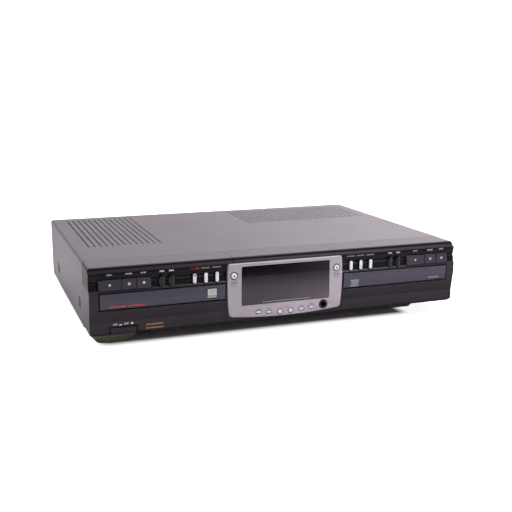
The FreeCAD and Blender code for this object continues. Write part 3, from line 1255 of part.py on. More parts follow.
def make_disc_tray(centre):
    """Tray with wells for both disc sizes, the pickup's slot and a rack along its left edge."""
    half = TRAY_WIDTH / 2
    y0 = DRAWER_BACK_Y
    plate = box(centre - half, centre + half, y0, TRAY_LENGTH, TRAY_Z0, TRAY_Z1)
    well = rod_z(centre, DISC_CENTRE_Y, DISC_SEAT_Z, TRAY_Z1 + 1, DISC_RADIUS + DISC_WELL_CLEARANCE)
    small = rod_z(centre, DISC_CENTRE_Y, DISC_SEAT_Z - SMALL_WELL_DEPTH, TRAY_Z1 + 1, SMALL_DISC_RADIUS)
    hub = rod_z(centre, DISC_CENTRE_Y, TRAY_Z0 - 1, TRAY_Z1 + 1, TRAY_HUB_OPENING)
    slot = box(centre - PICKUP_SLOT_HALF_WIDTH, centre + PICKUP_SLOT_HALF_WIDTH, DISC_CENTRE_Y,
               DISC_CENTRE_Y + PICKUP_SLOT_REACH, TRAY_Z0 - 1, TRAY_Z1 + 1)
    channel = box(centre - PUCK_RADIUS - 1, centre + PUCK_RADIUS + 1, DISC_CENTRE_Y, TRAY_LENGTH + 1,
                  PLAY_SEAT_Z + DISC_THICKNESS, TRAY_Z1 + 1)
    tray = plate.cut([well, small, hub, slot, channel])

    pitch = math.pi * MODULE
    back_x = centre + RACK_TOOTH_X - RACK_WIDTH
    root_x = centre + RACK_TOOTH_X - 2.25 * MODULE
    rack_start = DRIVE_GEAR_Y - 1.5 * pitch
    teeth = math.ceil((TRAY_TRAVEL + 3 * pitch) / pitch)
    z0 = TRAY_Z0 - RACK_DEPTH
    low_half = pitch / 4 - BACKLASH / 2 + 1.25 * MODULE * math.tan(math.radians(PRESSURE_ANGLE))
    high_half = pitch / 4 - BACKLASH / 2 - MODULE * math.tan(math.radians(PRESSURE_ANGLE))
    points = [(back_x, rack_start - pitch / 2)]
    for index in range(teeth):
        y = rack_start + (index + 0.5) * pitch
        points += [(root_x, y - low_half), (centre + RACK_TOOTH_X, y - high_half),
                   (centre + RACK_TOOTH_X, y + high_half), (root_x, y + low_half)]
    points.append((back_x, rack_start + (teeth + 0.5) * pitch))
    corners = [V(x, y, z0) for x, y in points]
    rack = Part.Face(Part.makePolygon(corners + corners[:1])).extrude(V(0, 0, RACK_DEPTH + 1))
    return tray.fuse(rack).removeSplitter()


def make_loader_frame(centre):
    """Frame on four legs: plate with an opening for the pickup frame, and walls that guide the tray."""
    outer = LOADER_OUTER
    inner = LOADER_INNER
    plate = box(centre - outer, centre + outer, LOADER_Y0, LOADER_Y1, LOADER_PLATE_Z0, LOADER_PLATE_Z1)
    opening = box(centre - LOADER_OPENING_HALF_WIDTH, centre + LOADER_OPENING_HALF_WIDTH,
                  LOADER_OPENING_Y0, LOADER_OPENING_Y1, LOADER_PLATE_Z0 - 1, LOADER_PLATE_Z1 + 1)
    pieces = [plate.cut(opening)]
    for side in (-1, 1):
        near, far = sorted((centre + side * inner, centre + side * outer))
        pieces.append(box(near, far, LOADER_Y0, LOADER_Y1, LOADER_PLATE_Z0, LOADER_TOP_Z))
        guide, wall = sorted((centre + side * (inner - LOADER_GUIDE_LAP), centre + side * (inner + 0.5)))
        for z0 in (TRAY_Z0 - PART_GAP - LOADER_GUIDE_THICKNESS, TRAY_Z1 + PART_GAP):
            if side > 0 or z0 > TRAY_Z1:
                pieces.append(box(guide, wall, LOADER_Y0, LOADER_Y1, z0, z0 + LOADER_GUIDE_THICKNESS))
        if side < 0:
            narrow = centre - TRAY_WIDTH / 2 + RACK_INSET - PART_GAP
            z0 = TRAY_Z0 - PART_GAP - LOADER_GUIDE_THICKNESS
            pieces.append(box(centre - inner - 0.5, narrow, LOADER_Y0, LOADER_Y1, z0,
                              z0 + LOADER_GUIDE_THICKNESS))
        ear_near, ear_far = sorted((centre + side * (LIFT_HALF_WIDTH + 1),
                                    centre + side * (LIFT_HALF_WIDTH + 1 + LIFT_EAR)))
        pieces.append(box(ear_near, ear_far, PIVOT_Y - 4, PIVOT_Y + 4, LOADER_PLATE_Z1 - 0.5, PIVOT_Z + 4))
    gear_x = centre + DRIVE_GEAR_X
    pieces.append(rod_z(gear_x, DRIVE_GEAR_Y, LOADER_PLATE_Z1 - 0.5, TRAY_Z0 - PART_GAP - 0.4,
                        DRIVE_PIN_RADIUS))
    pieces.append(rod_z(gear_x, DRIVE_GEAR_Y, LOADER_PLATE_Z1 - 0.5, pulley_z0() - SEAT_GAP,
                        DRIVE_PIN_RADIUS + 1.5))
    rest_z = lowered_z(LIFT_Y0, LIFT_TOP_Z - LIFT_PLATE)
    for side in (-1, 1):
        near, far = sorted((centre + side * REST_X, centre + side * (REST_X + REST_WIDTH)))
        pieces.append(box(near, far, LOADER_OPENING_Y0 - 4, LIFT_Y0 + 4, LOADER_PLATE_Z0, rest_z - SEAT_GAP))
    for x, y in leg_spots():
        if abs(x - centre) < outer:
            pieces.append(rod_z(x, y, BASE_TOP, LOADER_PLATE_Z0 + 0.5, LOADER_LEG_RADIUS))
    frame = fused(pieces)
    cuts = [rod_z(x, y, BASE_TOP - 1, BASE_TOP + 12, SCREW_RADIUS) for x, y in leg_spots()
            if abs(x - centre) < outer]
    pin_reach = LIFT_HALF_WIDTH + 2 * LIFT_EAR
    cuts.append(rod_x(centre - pin_reach, centre + pin_reach, PIVOT_Y, PIVOT_Z, LIFT_PIN_RADIUS + RUNNING))
    cuts.append(rod_z(centre + MOTOR_X, DRIVE_GEAR_Y, LOADER_PLATE_Z0 - 1, LOADER_PLATE_Z1 + 1,
                      3.0 + SEAT_GAP))
    return frame.cut(cuts)


def make_clamp_bridge(centre):
    """Bar across the loader that holds the puck over the disc."""
    half = BRIDGE_WIDTH / 2
    bar = box(centre - LOADER_OUTER, centre + LOADER_OUTER, DISC_CENTRE_Y - half, DISC_CENTRE_Y + half,
              LOADER_TOP_Z, LOADER_TOP_Z + BRIDGE_THICKNESS)
    ribs = [box(centre - LOADER_OUTER, centre + LOADER_OUTER, y, y + BRIDGE_THICKNESS,
                LOADER_TOP_Z + BRIDGE_THICKNESS / 2, LOADER_TOP_Z + 3 * BRIDGE_THICKNESS)
            for y in (DISC_CENTRE_Y - half, DISC_CENTRE_Y + half - BRIDGE_THICKNESS)]
    hole = rod_z(centre, DISC_CENTRE_Y, LOADER_TOP_Z - 1, LOADER_TOP_Z + BRIDGE_THICKNESS + 1,
                 PUCK_NECK_RADIUS + PUCK_PLAY)
    return fused([bar] + ribs).cut(hole)


def make_clamp_puck(centre):
    """Clamp disc that hangs in the bridge by its upper flange."""
    z0 = PLAY_SEAT_Z + DISC_THICKNESS + PART_GAP
    top = LOADER_TOP_Z + BRIDGE_THICKNESS + SEAT_GAP
    lower = rod_z(centre, DISC_CENTRE_Y, z0, z0 + PUCK_THICKNESS, PUCK_RADIUS)
    neck = rod_z(centre, DISC_CENTRE_Y, z0 + 1, top + 0.5, PUCK_NECK_RADIUS)
    flange = rod_z(centre, DISC_CENTRE_Y, top, top + PUCK_FLANGE_THICKNESS, PUCK_FLANGE_RADIUS)
    recess_top = PLAY_SEAT_Z + TURNTABLE_CONE_HEIGHT + 2 * PART_GAP
    recess = rod_z(centre, DISC_CENTRE_Y, z0 - 1, recess_top, TURNTABLE_CONE_RADIUS + 2 * PART_GAP)
    return fused([lower, neck, flange]).cut(recess)


def lowered(shape, centre):
    """Turn a piece of the pickup frame from its level playing place down to its rest."""
    shape.rotate(V(centre, PIVOT_Y, PIVOT_Z), V(1, 0, 0), LIFT_ANGLE)
    return shape


def lowered_z(y, z):
    """Height of a point of the pickup frame when the frame is at rest."""
    angle = math.radians(LIFT_ANGLE)
    return PIVOT_Z + (y - PIVOT_Y) * math.sin(angle) + (z - PIVOT_Z) * math.cos(angle)


def make_pickup_frame(centre):
    """Tilting plate with its pivot pins, the spindle motor under it and two guide rods on it."""
    z1 = LIFT_TOP_Z
    z0 = z1 - LIFT_PLATE
    y_motor = DISC_CENTRE_Y
    plate = box(centre - LIFT_HALF_WIDTH, centre + LIFT_HALF_WIDTH, LIFT_Y0, LIFT_Y1, z0, z1)
    window = box(centre - LIFT_WINDOW_HALF_WIDTH, centre + LIFT_WINDOW_HALF_WIDTH, LIFT_WINDOW_Y0,
                 LIFT_WINDOW_Y1, z0 - 1, z1 + 1)
    pieces = [plate.cut(window)]
    rod_z_level = z1 + GUIDE_ROD_RISE
    for side in (-1, 1):
        x = centre + side * GUIDE_ROD_X
        for y in (LIFT_WINDOW_Y0 - GUIDE_BLOCK, LIFT_WINDOW_Y1):
            pieces.append(box(x - 3, x + 3, y, y + GUIDE_BLOCK, z1 - 0.5,
                              rod_z_level - GUIDE_ROD_RADIUS - RUNNING))
        near, far = sorted((centre + side * (LIFT_HALF_WIDTH - 6), centre + side * LIFT_HALF_WIDTH))
        pieces.append(box(near, far, LIFT_Y1 - 6, PIVOT_Y + 3, PIVOT_Z - 3, z1))
        near, far = sorted((centre + side * (LIFT_HALF_WIDTH - 2),
                            centre + side * (LIFT_HALF_WIDTH + 1 + LIFT_EAR)))
        pieces.append(rod_x(near, far, PIVOT_Y, PIVOT_Z, LIFT_PIN_RADIUS))
    collar_radius = TURNTABLE_SHAFT_RADIUS + 2
    frame = fused(pieces).cut(rod_z(centre, y_motor, z0 - 1, z1 + 1, collar_radius + SEAT_GAP))
    can = rod_z(centre, y_motor, z0 - SPINDLE_MOTOR_HEIGHT, z0, SPINDLE_MOTOR_RADIUS)
    collar = rod_z(centre, y_motor, z0 - 1, z1 + 1, collar_radius)
    bore = rod_z(centre, y_motor, z0 - SPINDLE_MOTOR_HEIGHT / 2 - 1, z1 + 2, TURNTABLE_SHAFT_RADIUS + RUNNING)
    motor = fused([can, collar]).cut(bore)
    rods = [rod_y(centre + side * GUIDE_ROD_X, LIFT_WINDOW_Y0 - GUIDE_BLOCK, LIFT_WINDOW_Y1 + GUIDE_BLOCK,
                  rod_z_level, GUIDE_ROD_RADIUS) for side in (-1, 1)]
    return [lowered(solid, centre) for solid in [frame, motor] + rods]


def make_turntable(centre):
    y = DISC_CENTRE_Y
    seat = PLAY_SEAT_Z
    hub = rod_z(centre, y, seat - TURNTABLE_THICKNESS, seat, TURNTABLE_RADIUS)
    cone = Part.makeCone(TURNTABLE_CONE_RADIUS, TURNTABLE_CONE_RADIUS - 1.5, TURNTABLE_CONE_HEIGHT,
                         V(centre, y, seat))
    neck = rod_z(centre, y, LIFT_TOP_Z + 1 + PART_GAP, seat - 1, TURNTABLE_CONE_RADIUS - 1)
    shaft = rod_z(centre, y, LIFT_TOP_Z - LIFT_PLATE - SPINDLE_MOTOR_HEIGHT / 2, seat - 1,
                  TURNTABLE_SHAFT_RADIUS)
    return lowered(fused([hub, cone, neck, shaft]), centre)


def make_laser_pickup(centre):
    """Block that runs on the two rods, with the lens housing on top."""
    y0 = DISC_CENTRE_Y + PICKUP_START - PICKUP_LENGTH / 2
    y1 = y0 + PICKUP_LENGTH
    lens_y = DISC_CENTRE_Y + PICKUP_START
    rod_level = LIFT_TOP_Z + GUIDE_ROD_RISE
    body = box(centre - PICKUP_HALF_WIDTH, centre + PICKUP_HALF_WIDTH, y0, y1,
               LIFT_TOP_Z - PICKUP_BELOW, LIFT_TOP_Z + PICKUP_ABOVE)
    reach = GUIDE_ROD_X + GUIDE_ROD_RADIUS + 2.5
    arms = box(centre - reach, centre + reach, y0, y1, LIFT_TOP_Z + PART_GAP, LIFT_TOP_Z + PICKUP_ABOVE)
    lens_top = PLAY_SEAT_Z - LENS_TOP_DROP
    housing = rod_z(centre, lens_y, LIFT_TOP_Z, lens_top - 0.6, LENS_HOUSING_RADIUS)
    lens = rod_z(centre, lens_y, LIFT_TOP_Z, lens_top, LENS_RADIUS)
    bores = [rod_y(centre + side * GUIDE_ROD_X, y0 - 1, y1 + 1, rod_level, GUIDE_ROD_RADIUS + RUNNING)
             for side in (-1, 1)]
    return lowered(fused([body, arms, housing, lens]).cut(bores), centre)


def write_node(name, shape):
    """Move a piece, or a list of solids, into the object's own frame and write its STEP file."""
    solid = Part.makeCompound(shape) if isinstance(shape, list) else shape
    solid = solid.copy()
    solid.translate(V(0, -CENTRE_Y, 0))
    solids = solid.Solids
    if not solids or not solid.isValid():
        print("check", name, len(solids), solid.isValid())
    solid = Part.makeCompound(solids) if len(solids) > 1 else solids[0]
    solid.exportStep(os.path.join("parts", name + ".step"))


def deck_pieces(name):
    """Nodes of one deck that move or that its keys need."""
    centre = DECKS[name]
    pieces = {
        "drawer_front": make_drawer_front(centre),
        "disc_tray": make_disc_tray(centre),
        "drive_gear": make_drive_gear(centre),
        "motor_pulley": make_motor_pulley(centre),
        "pickup_frame": make_pickup_frame(centre),
        "turntable": make_turntable(centre),
        "laser_pickup": make_laser_pickup(centre),
        "clamp_puck": make_clamp_puck(centre),
        "eject_button": make_eject_button(*eject_spots()[name]),
    }
    for key, span in key_block_spans(name).items():
        pieces[f"{key}_key"] = make_block_key(*span)
    for key, x in skip_key_spots(name).items():
        pieces[f"{key}_key"] = make_skip_key(x)
    for key, x in pill_key_spots(name).items():
        pieces[f"{key}_key"] = make_pill_key(x)
    return {f"{name}_{piece}": shape for piece, shape in pieces.items()}


def all_pieces():
    """Every node of the object by name."""
    nodes = {
        "base_chassis": make_base_chassis(),
        "top_cover": make_top_cover(),
        "rear_panel": make_rear_panel(),
        "fascia": make_fascia(),
        "centre_bezel": make_centre_bezel(),
        "display_window": make_display_window(),
        "front_board": make_front_board(),
        "feet": make_feet(),
        "screws_and_standoffs": make_case_screws() + make_standoffs(),
        "headphone_socket": make_headphone_socket(),
        "mains_inlet": make_mains_inlet(),
        "rear_sockets": make_rear_sockets(),
        "main_board": make_main_board(),
        "power_supply_board": make_power_supply_board(),
        "transformer": make_transformer(),
        "power_button": make_power_button(),
        "loader_frames": [make_loader_frame(centre) for centre in DECKS.values()],
        "clamp_bridges": [make_clamp_bridge(centre) for centre in DECKS.values()],
        "loading_motors": [make_loading_motor(centre) for centre in DECKS.values()],
        "drive_belts": [make_belt(centre) for centre in DECKS.values()],
    }
    for key, x, shape in menu_keys():
        nodes[key] = make_menu_key(x, shape)
    for name in DECKS:
        nodes.update(deck_pieces(name))
    return nodes


def main():
    os.makedirs("parts", exist_ok=True)
    for name, shape in all_pieces().items():
        write_node(name, shape)


main()
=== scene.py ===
"""Looks of the dual disc recorder: finishes, printed marks, ribs and rings, floor, lights and camera."""

import logging
import math
from dataclasses import dataclass
from enum import Enum

import bmesh
import bpy
from mathutils import Matrix, Vector
from mathutils.bvhtree import BVHTree


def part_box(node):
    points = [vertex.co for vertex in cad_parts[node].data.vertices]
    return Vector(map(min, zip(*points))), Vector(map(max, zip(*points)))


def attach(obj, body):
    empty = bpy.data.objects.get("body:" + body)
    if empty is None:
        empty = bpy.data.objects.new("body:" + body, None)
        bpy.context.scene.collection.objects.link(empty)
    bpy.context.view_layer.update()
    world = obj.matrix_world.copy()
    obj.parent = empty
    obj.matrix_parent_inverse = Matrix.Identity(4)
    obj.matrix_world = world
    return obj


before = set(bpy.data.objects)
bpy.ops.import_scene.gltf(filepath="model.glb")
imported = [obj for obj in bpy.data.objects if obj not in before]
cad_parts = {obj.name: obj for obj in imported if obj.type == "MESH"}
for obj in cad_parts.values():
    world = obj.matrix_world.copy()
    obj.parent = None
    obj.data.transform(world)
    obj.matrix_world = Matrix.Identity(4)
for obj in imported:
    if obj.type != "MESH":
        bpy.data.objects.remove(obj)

LOG = logging.getLogger("recorder")
MM = 0.001
QUARTER_TURN = math.radians(90)

Socket = bpy.types.NodeSocket
Material = bpy.types.Material
Rgb = tuple[int, int, int]
Point = tuple[float, float]
Place = tuple[float, float, float]
Bar = tuple[float, float, float, float]
Face = tuple[int, ...]


def linear(colour: Rgb) -> tuple[float, float, float, float]:
    """Turn a colour as a screen shows it into the renderer's own values.

    Args:
        colour: Red, green and blue from 0 to 255.

    Returns:
        Red, green, blue and alpha from 0 to 1.
    """
    shares = [channel / 255 for channel in colour]
    values = [share / 12.92 if share <= 0.04045 else ((share + 0.055) / 1.055) ** 2.4 for share in shares]
    return values[0], values[1], values[2], 1.0


def add_object(name: str, data: bpy.types.ID) -> bpy.types.Object:
    """Make an object of some data and put it in the scene.

    Args:
        name: Name of the object.
        data: Its mesh, curve, lamp or camera.

    Returns:
        The object.
    """
    made = bpy.data.objects.new(name, data)
    bpy.context.collection.objects.link(made)
    return made


def face_middle(node: str) -> Point:
    """Middle of a node's box in millimetres, as seen from the front."""
    low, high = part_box(node)
    return (low.x + high.x) / 2 / MM, (low.z + high.z) / 2 / MM


def facing(node: str, y: float, drop: float = 0.0) -> Vector:
    """Place in front of the middle of a node, at a Y in metres and lowered by a drop in millimetres."""
    across, up = face_middle(node)
    return Vector((across * MM, y, (up - drop) * MM))


class NodeTree:
    """Adds nodes to one tree and links them."""

    def __init__(self, tree: bpy.types.NodeTree) -> None:
        """Start on a tree that exists."""
        self.nodes = tree.nodes
        self.links = tree.links

    def node(self, kind: str, **sources: Socket) -> bpy.types.Node:
        """Add a node and feed its inputs; an underscore in a name stands for a space.

        Args:
            kind: Type of the node.
            sources: Socket that feeds each input, by the input's name.

        Returns:
            The node.
        """
        node = self.nodes.new(kind)
        for name, source in sources.items():
            self.links.new(source, node.inputs[name.replace("_", " ")])
        return node


class NodeSheet(NodeTree):
    """Lays out the nodes of a material or of the world."""

    def __init__(self, owner: "Material | bpy.types.World", place: str = "Object") -> None:
        """Start an empty tree.

        Args:
            owner: Material or world that has the tree.
            place: Coordinates that its patterns follow.
        """
        owner.use_nodes = True
        super().__init__(owner.node_tree)
        self.nodes.clear()
        self.place = self.node("ShaderNodeTexCoord").outputs[place]

    def fill(self, socket: Socket, value: "float | Rgb | Socket") -> None:
        """Link a socket to another one, or set it to a number or a colour.

        Args:
            socket: Socket to link or set.
            value: Where its value comes from.
        """
        if isinstance(value, Socket):
            self.links.new(value, socket)
        else:
            socket.default_value = linear(value) if isinstance(value, tuple) else value

    def work_out(self, operation: str, first: Socket, *others: "float | Socket") -> Socket:
        """Work out one operation on a value and each of the others in turn.

        Args:
            operation: Name of the operation.
            first: The value.
            others: What it is worked out with.

        Returns:
            The result.
        """
        for other in others:
            node = self.node("ShaderNodeMath")
            node.operation = operation
            self.fill(node.inputs[0], first)
            self.fill(node.inputs[1], other)
            first = node.outputs[0]
        return first

    def span(self, factor: Socket, low: "float | Socket", high: "float | Socket", start: float = 0.0,
             end: float = 1.0) -> Socket:
        """Map a factor that runs from start to end onto the range from low to high.

        Args:
            factor: The factor.
            low: Value at the start.
            high: Value at the end.
            start: Factor that gives the low value.
            end: Factor that gives the high value.

        Returns:
            The value between them.
        """
        node = self.node("ShaderNodeMapRange", Value=factor)
        for socket, value in (("From Min", start), ("From Max", end), ("To Min", low), ("To Max", high)):
            self.fill(node.inputs[socket], value)
        return node.outputs["Result"]

    def widen(self, factor: Socket, margin: float) -> Socket:
        """Stretch the middle of a noise to the full range, with a margin cut off at both ends."""
        return self.span(factor, 0, 1, margin, 1 - margin)

    def along(self, axis: str, start: float, end: float) -> Socket:
        """Ramp from 0 to 1 between two places along an axis."""
        split = self.node("ShaderNodeSeparateXYZ", Vector=self.place)
        return self.span(split.outputs[axis], 0, 1, start, end)

    def ramp(self, axis: str, start: float, end: float, low: float, high: float) -> Socket:
        """Ramp between two values from one place along an axis to another."""
        return self.span(self.along(axis, start, end), low, high)

    def step(self, axis: str, middle: float, half: float) -> Socket:
        """Soft step from 0 to 1 at a place in millimetres; a negative half width turns it round."""
        return self.along(axis, (middle - half) * MM, (middle + half) * MM)

    def blend(self, factor: Socket, first: "Rgb | Socket", second: "Rgb | Socket") -> Socket:
        """Mix two colours by a factor; either may come from a node.

        Args:
            factor: Share of the second colour.
            first: Colour at 0.
            second: Colour at 1.

        Returns:
            The mixed colour.
        """
        node = self.node("ShaderNodeMix")
        node.data_type = "RGBA"
        for index, value in ((0, factor), (6, first), (7, second)):
            self.fill(node.inputs[index], value)
        return node.outputs[2]


class ShaderSheet(NodeSheet):
    """Lays out the nodes of one material round a Principled shader."""

    def __init__(self, name: str, colour: Rgb, roughness: float, metallic: float = 0.0) -> None:
        """Start a material.

        Args:
            name: Name of the material.
            colour: Its colour, as a screen shows it.
            roughness: Roughness of its gloss.
            metallic: 1 for bare metal.
        """
        self.material = bpy.data.materials.new(name)
        super().__init__(self.material)
        self.shader = self.node("ShaderNodeBsdfPrincipled")
        self.set("Base Color", linear(colour))
        self.set("Roughness", roughness)
        self.set("Metallic", metallic)
        self.node("ShaderNodeOutputMaterial", Surface=self.shader.outputs["BSDF"])

    def set(self, socket: str, value: object) -> None:
        """Set one of the shader's own sockets to a value."""
        self.shader.inputs[socket].default_value = value

    def feed(self, socket: str, source: Socket) -> None:
        """Feed one of the shader's sockets from a node."""
        self.links.new(source, self.shader.inputs[socket])

    def scaled(self, scale: list[float]) -> Socket:
        """The object's coordinates, made denser along X, Y and Z.

        Args:
            scale: How much denser, along each axis.

        Returns:
            The coordinates.
        """
        mapping = self.node("ShaderNodeMapping", Vector=self.place)
        mapping.inputs["Scale"].default_value = scale
        return mapping.outputs["Vector"]

    def noise(self, size: float, detail: float = 3.0,
              stretch: tuple[float, float, float] = (1, 1, 1)) -> Socket:
        """Noise that stays put on the object.

        Args:
            size: Size of its features in millimetres.
            detail: Levels of finer noise on top.
            stretch: How much denser it is along X, Y and Z.

        Returns:
            Its factor from 0 to 1.
        """
        texture = self.node("ShaderNodeTexNoise",
                            Vector=self.scaled([share / (size * MM) for share in stretch]))
        texture.inputs["Scale"].default_value = 1.0
        texture.inputs["Detail"].default_value = detail
        return texture.outputs["Fac"]

    def gloss(self, roughness: float, spread: float, patch: float = 6.0) -> Socket:
        """Roughness that wanders by a spread over patches of a size in millimetres."""
        return self.span(self.noise(patch), roughness - spread, roughness + spread)

    def bump(self, height: Socket, depth: float, strength: float = 1.0) -> None:
        """Add a height in millimetres to the surface's relief.

        Args:
            height: The relief, as a factor from 0 to 1.
            depth: Its depth in millimetres.
            strength: Share of it that shows.
        """
        node = self.node("ShaderNodeBump")
        node.inputs["Strength"].default_value = strength
        node.inputs["Distance"].default_value = depth * MM
        normal = self.shader.inputs["Normal"]
        if normal.is_linked:
            self.links.new(normal.links[0].from_socket, node.inputs["Normal"])
        self.links.new(height, node.inputs["Height"])
        self.links.new(node.outputs["Normal"], normal)


@dataclass(frozen=True)
class Finish:
    """What every finish has: a name, a colour and the roughness of its gloss."""

    name: str
    colour: Rgb
    roughness: float

    def sheet(self) -> ShaderSheet:
        """Start the finish's material."""
        return ShaderSheet(self.name, self.colour, self.roughness)

    def paint(self, sheet: ShaderSheet) -> None:
        """Lay the finish's pattern, gloss and relief on its material."""

    def build(self) -> Material:
        """Make the finish's material.

        Returns:
            The material.
        """
        sheet = self.sheet()
        self.paint(sheet)
        return sheet.material

    def shade(self, amount: float) -> Rgb:
        """The finish's colour made lighter or darker by an amount."""
        red, green, blue = (min(255, max(0, round(channel * (1 + amount)))) for channel in self.colour)
        return red, green, blue


@dataclass(frozen=True)
class Moulding(Finish):
    """Moulded plastic with a fine spark-eroded grain and faint flow marks."""

    grain: float = 0.35
    depth: float = 0.012
    mottle: float = 0.10
    flow: float = 38.0
    spread: float = 0.05

    def tone(self, sheet: ShaderSheet) -> Socket:
        """Colour that wanders along the way in which the plastic flowed."""
        marks = sheet.widen(sheet.noise(self.flow, 2.0, (0.5, 1, 1)), 0.3)
        return sheet.blend(marks, self.shade(-self.mottle), self.shade(self.mottle))

    def paint(self, sheet: ShaderSheet) -> None:
        """Lay the plastic's pattern, gloss and relief.

        Args:
            sheet: Nodes of the finish's material.
        """
        sheet.feed("Base Color", self.tone(sheet))
        sheet.feed("Roughness", sheet.gloss(self.roughness, self.spread))
        sheet.bump(sheet.noise(self.grain, 2.0), self.depth)


@dataclass(frozen=True)
class Housing(Moulding):
    """Moulded housing: a paler chin, a lip painted black over it as painted shade of the groove and of the
    lip's underside, and a top painted in the grey of the cover as a painted sheen.
    """

    spread: float = 0.03
    specular: float = 0.25
    # Lip colour: painted shade of the groove and of the lip's underside.
    lip: Rgb = (10, 9, 12)
    lip_z: float = 63.5
    lip_fade: float = 1.5
    lip_roughness: float = 0.46
    # Top colour: painted sheen, the grey that a grazing view sees on the black plastic.
    top: Rgb = (92, 88, 92)
    top_z: float = 86.9
    top_sheen_fade: float = 0.5

    def paint(self, sheet: ShaderSheet) -> None:
        """Lay the housing's pattern, gloss and relief.

        Args:
            sheet: Nodes of the finish's material.
        """
        sheet.set("Specular IOR Level", self.specular)
        above = sheet.step("Z", self.lip_z, self.lip_fade)
        # Painted shade on the lip, and painted sheen on the top.
        front = sheet.blend(above, self.tone(sheet), self.lip)
        sheet.feed("Base Color", sheet.blend(sheet.step("Z", self.top_z, self.top_sheen_fade), front, self.top))
        fine = sheet.gloss(self.roughness, self.spread)
        sheet.feed("Roughness", sheet.span(above, fine, self.lip_roughness))
        sheet.bump(sheet.noise(self.grain, 2.0), self.depth)


@dataclass(frozen=True)
class Capped(Moulding):
    """A pale cap whose sides behind its front are painted dark, as painted shade on the key's flanks."""

    # Painted shade on the key's flanks behind the cap's front.
    stem: Rgb = (40, 39, 43)
    back_y: float = -156.2
    fade: float = 0.1

    def tone(self, sheet: ShaderSheet) -> Socket:
        """Colour of the cap as far as its back, and painted shade on the key's sides behind it."""
        return sheet.blend(sheet.step("Y", self.back_y, self.fade), self.colour, self.stem)


@dataclass(frozen=True)
class Lacquer(Finish):
    """Sprayed metal: a fine structure paint with slight clouds and pale specks in it."""

    peel: float = 0.8
    depth: float = 0.02
    metallic: float = 0.0
    coat: float = 0.0
    coat_roughness: float = 0.25
    cloud: float = 90.0
    cloud_shade: float = 0.05
    speck: float = 0.5
    speck_shade: float = 0.25
    patch: float = 14.0

    def sheet(self) -> ShaderSheet:
        """Start the lacquer's material.

        Returns:
            Nodes of its material.
        """
        sheet = ShaderSheet(self.name, self.colour, self.roughness, self.metallic)
        sheet.set("Coat Weight", self.coat)
        sheet.set("Coat Roughness", self.coat_roughness)
        return sheet

    def paint(self, sheet: ShaderSheet) -> None:
        """Lay the lacquer's pattern, gloss and relief.

        Args:
            sheet: Nodes of the finish's material.
        """
        clouds = sheet.widen(sheet.noise(self.cloud, 3.0), 0.3)
        tint = sheet.blend(clouds, self.shade(-self.cloud_shade), self.shade(self.cloud_shade))
        specks = sheet.span(sheet.noise(self.speck, 1.0), 0, 0.35, 0.55, 0.8)
        sheet.feed("Base Color", sheet.blend(specks, tint, self.shade(self.speck_shade)))
        sheet.feed("Roughness", sheet.gloss(self.roughness, 0.04, self.patch))
        sheet.bump(sheet.noise(self.peel, 2.0), self.depth)


@dataclass(frozen=True)
class Plating(Finish):
    """Bare or plated metal, rolled along one axis."""

    stretch: tuple[float, float, float] = (0.05, 1, 1)
    line: float = 0.6
    spangle: float = 9.0

    def sheet(self) -> ShaderSheet:
        """Start the metal's material."""
        return ShaderSheet(self.name, self.colour, self.roughness, 1.0)

    def paint(self, sheet: ShaderSheet) -> None:
        """Lay the metal's pattern, gloss and relief.

        Args:
            sheet: Nodes of the finish's material.
        """
        lines = sheet.noise(self.line, 3.0, self.stretch)
        spangle = sheet.widen(sheet.noise(self.spangle, 1.0), 0.35)
        sheet.feed("Base Color", sheet.blend(spangle, self.shade(-0.10), self.shade(0.06)))
        sheet.feed("Roughness", sheet.span(lines, self.roughness - 0.08, self.roughness + 0.10))
        sheet.bump(lines, 0.01, 0.6)


@dataclass(frozen=True)
class SmokedPane(Finish):
    """Polished smoked acrylic with a black masked strip along its top, and a painted reflection of the floor
    that makes it lighter towards the bottom and the right.
    """

    mask: Rgb = (4, 3, 5)
    # Colour of the painted reflection of the floor in the pane.
    glow: Rgb = (82, 72, 82)
    mask_z: float = 66.6
    mask_fade: float = 0.4
    # Heights and X places over which the painted reflection fades in.
    reflection_band: tuple[float, float] = (62.6, 36.0)
    across: tuple[float, float] = (-0.03, 0.05)

    def paint(self, sheet: ShaderSheet) -> None:
        """Lay the pane's pattern, gloss and relief.

        Args:
            sheet: Nodes of the finish's material.
        """
        high, low = self.reflection_band
        # Painted reflection: lighter towards the right, then towards the bottom.
        painted_reflection = sheet.blend(sheet.along("X", *self.across), self.colour, self.glow)
        tone = sheet.blend(sheet.along("Z", high * MM, low * MM), self.colour, painted_reflection)
        sheet.feed("Base Color", sheet.blend(sheet.step("Z", self.mask_z, self.mask_fade), tone, self.mask))
        sheet.feed("Roughness", sheet.gloss(self.roughness + 0.02, 0.02, 5.0))
        sheet.bump(sheet.noise(12.0, 1.0), 0.006)


@dataclass(frozen=True)
class Ink(Finish):
    """Screen-printed ink, a little uneven at its edges."""

    patch: float = 0.4
    edge: float = 0.2

    def paint(self, sheet: ShaderSheet) -> None:
        """Lay the ink's pattern, gloss and relief.

        Args:
            sheet: Nodes of the finish's material.
        """
        patches = sheet.widen(sheet.noise(self.patch, 2.0), 0.35)
        sheet.feed("Base Color", sheet.blend(patches, self.shade(-0.08), self.shade(0.04)))
        sheet.bump(sheet.noise(self.edge, 1.0), 0.004)


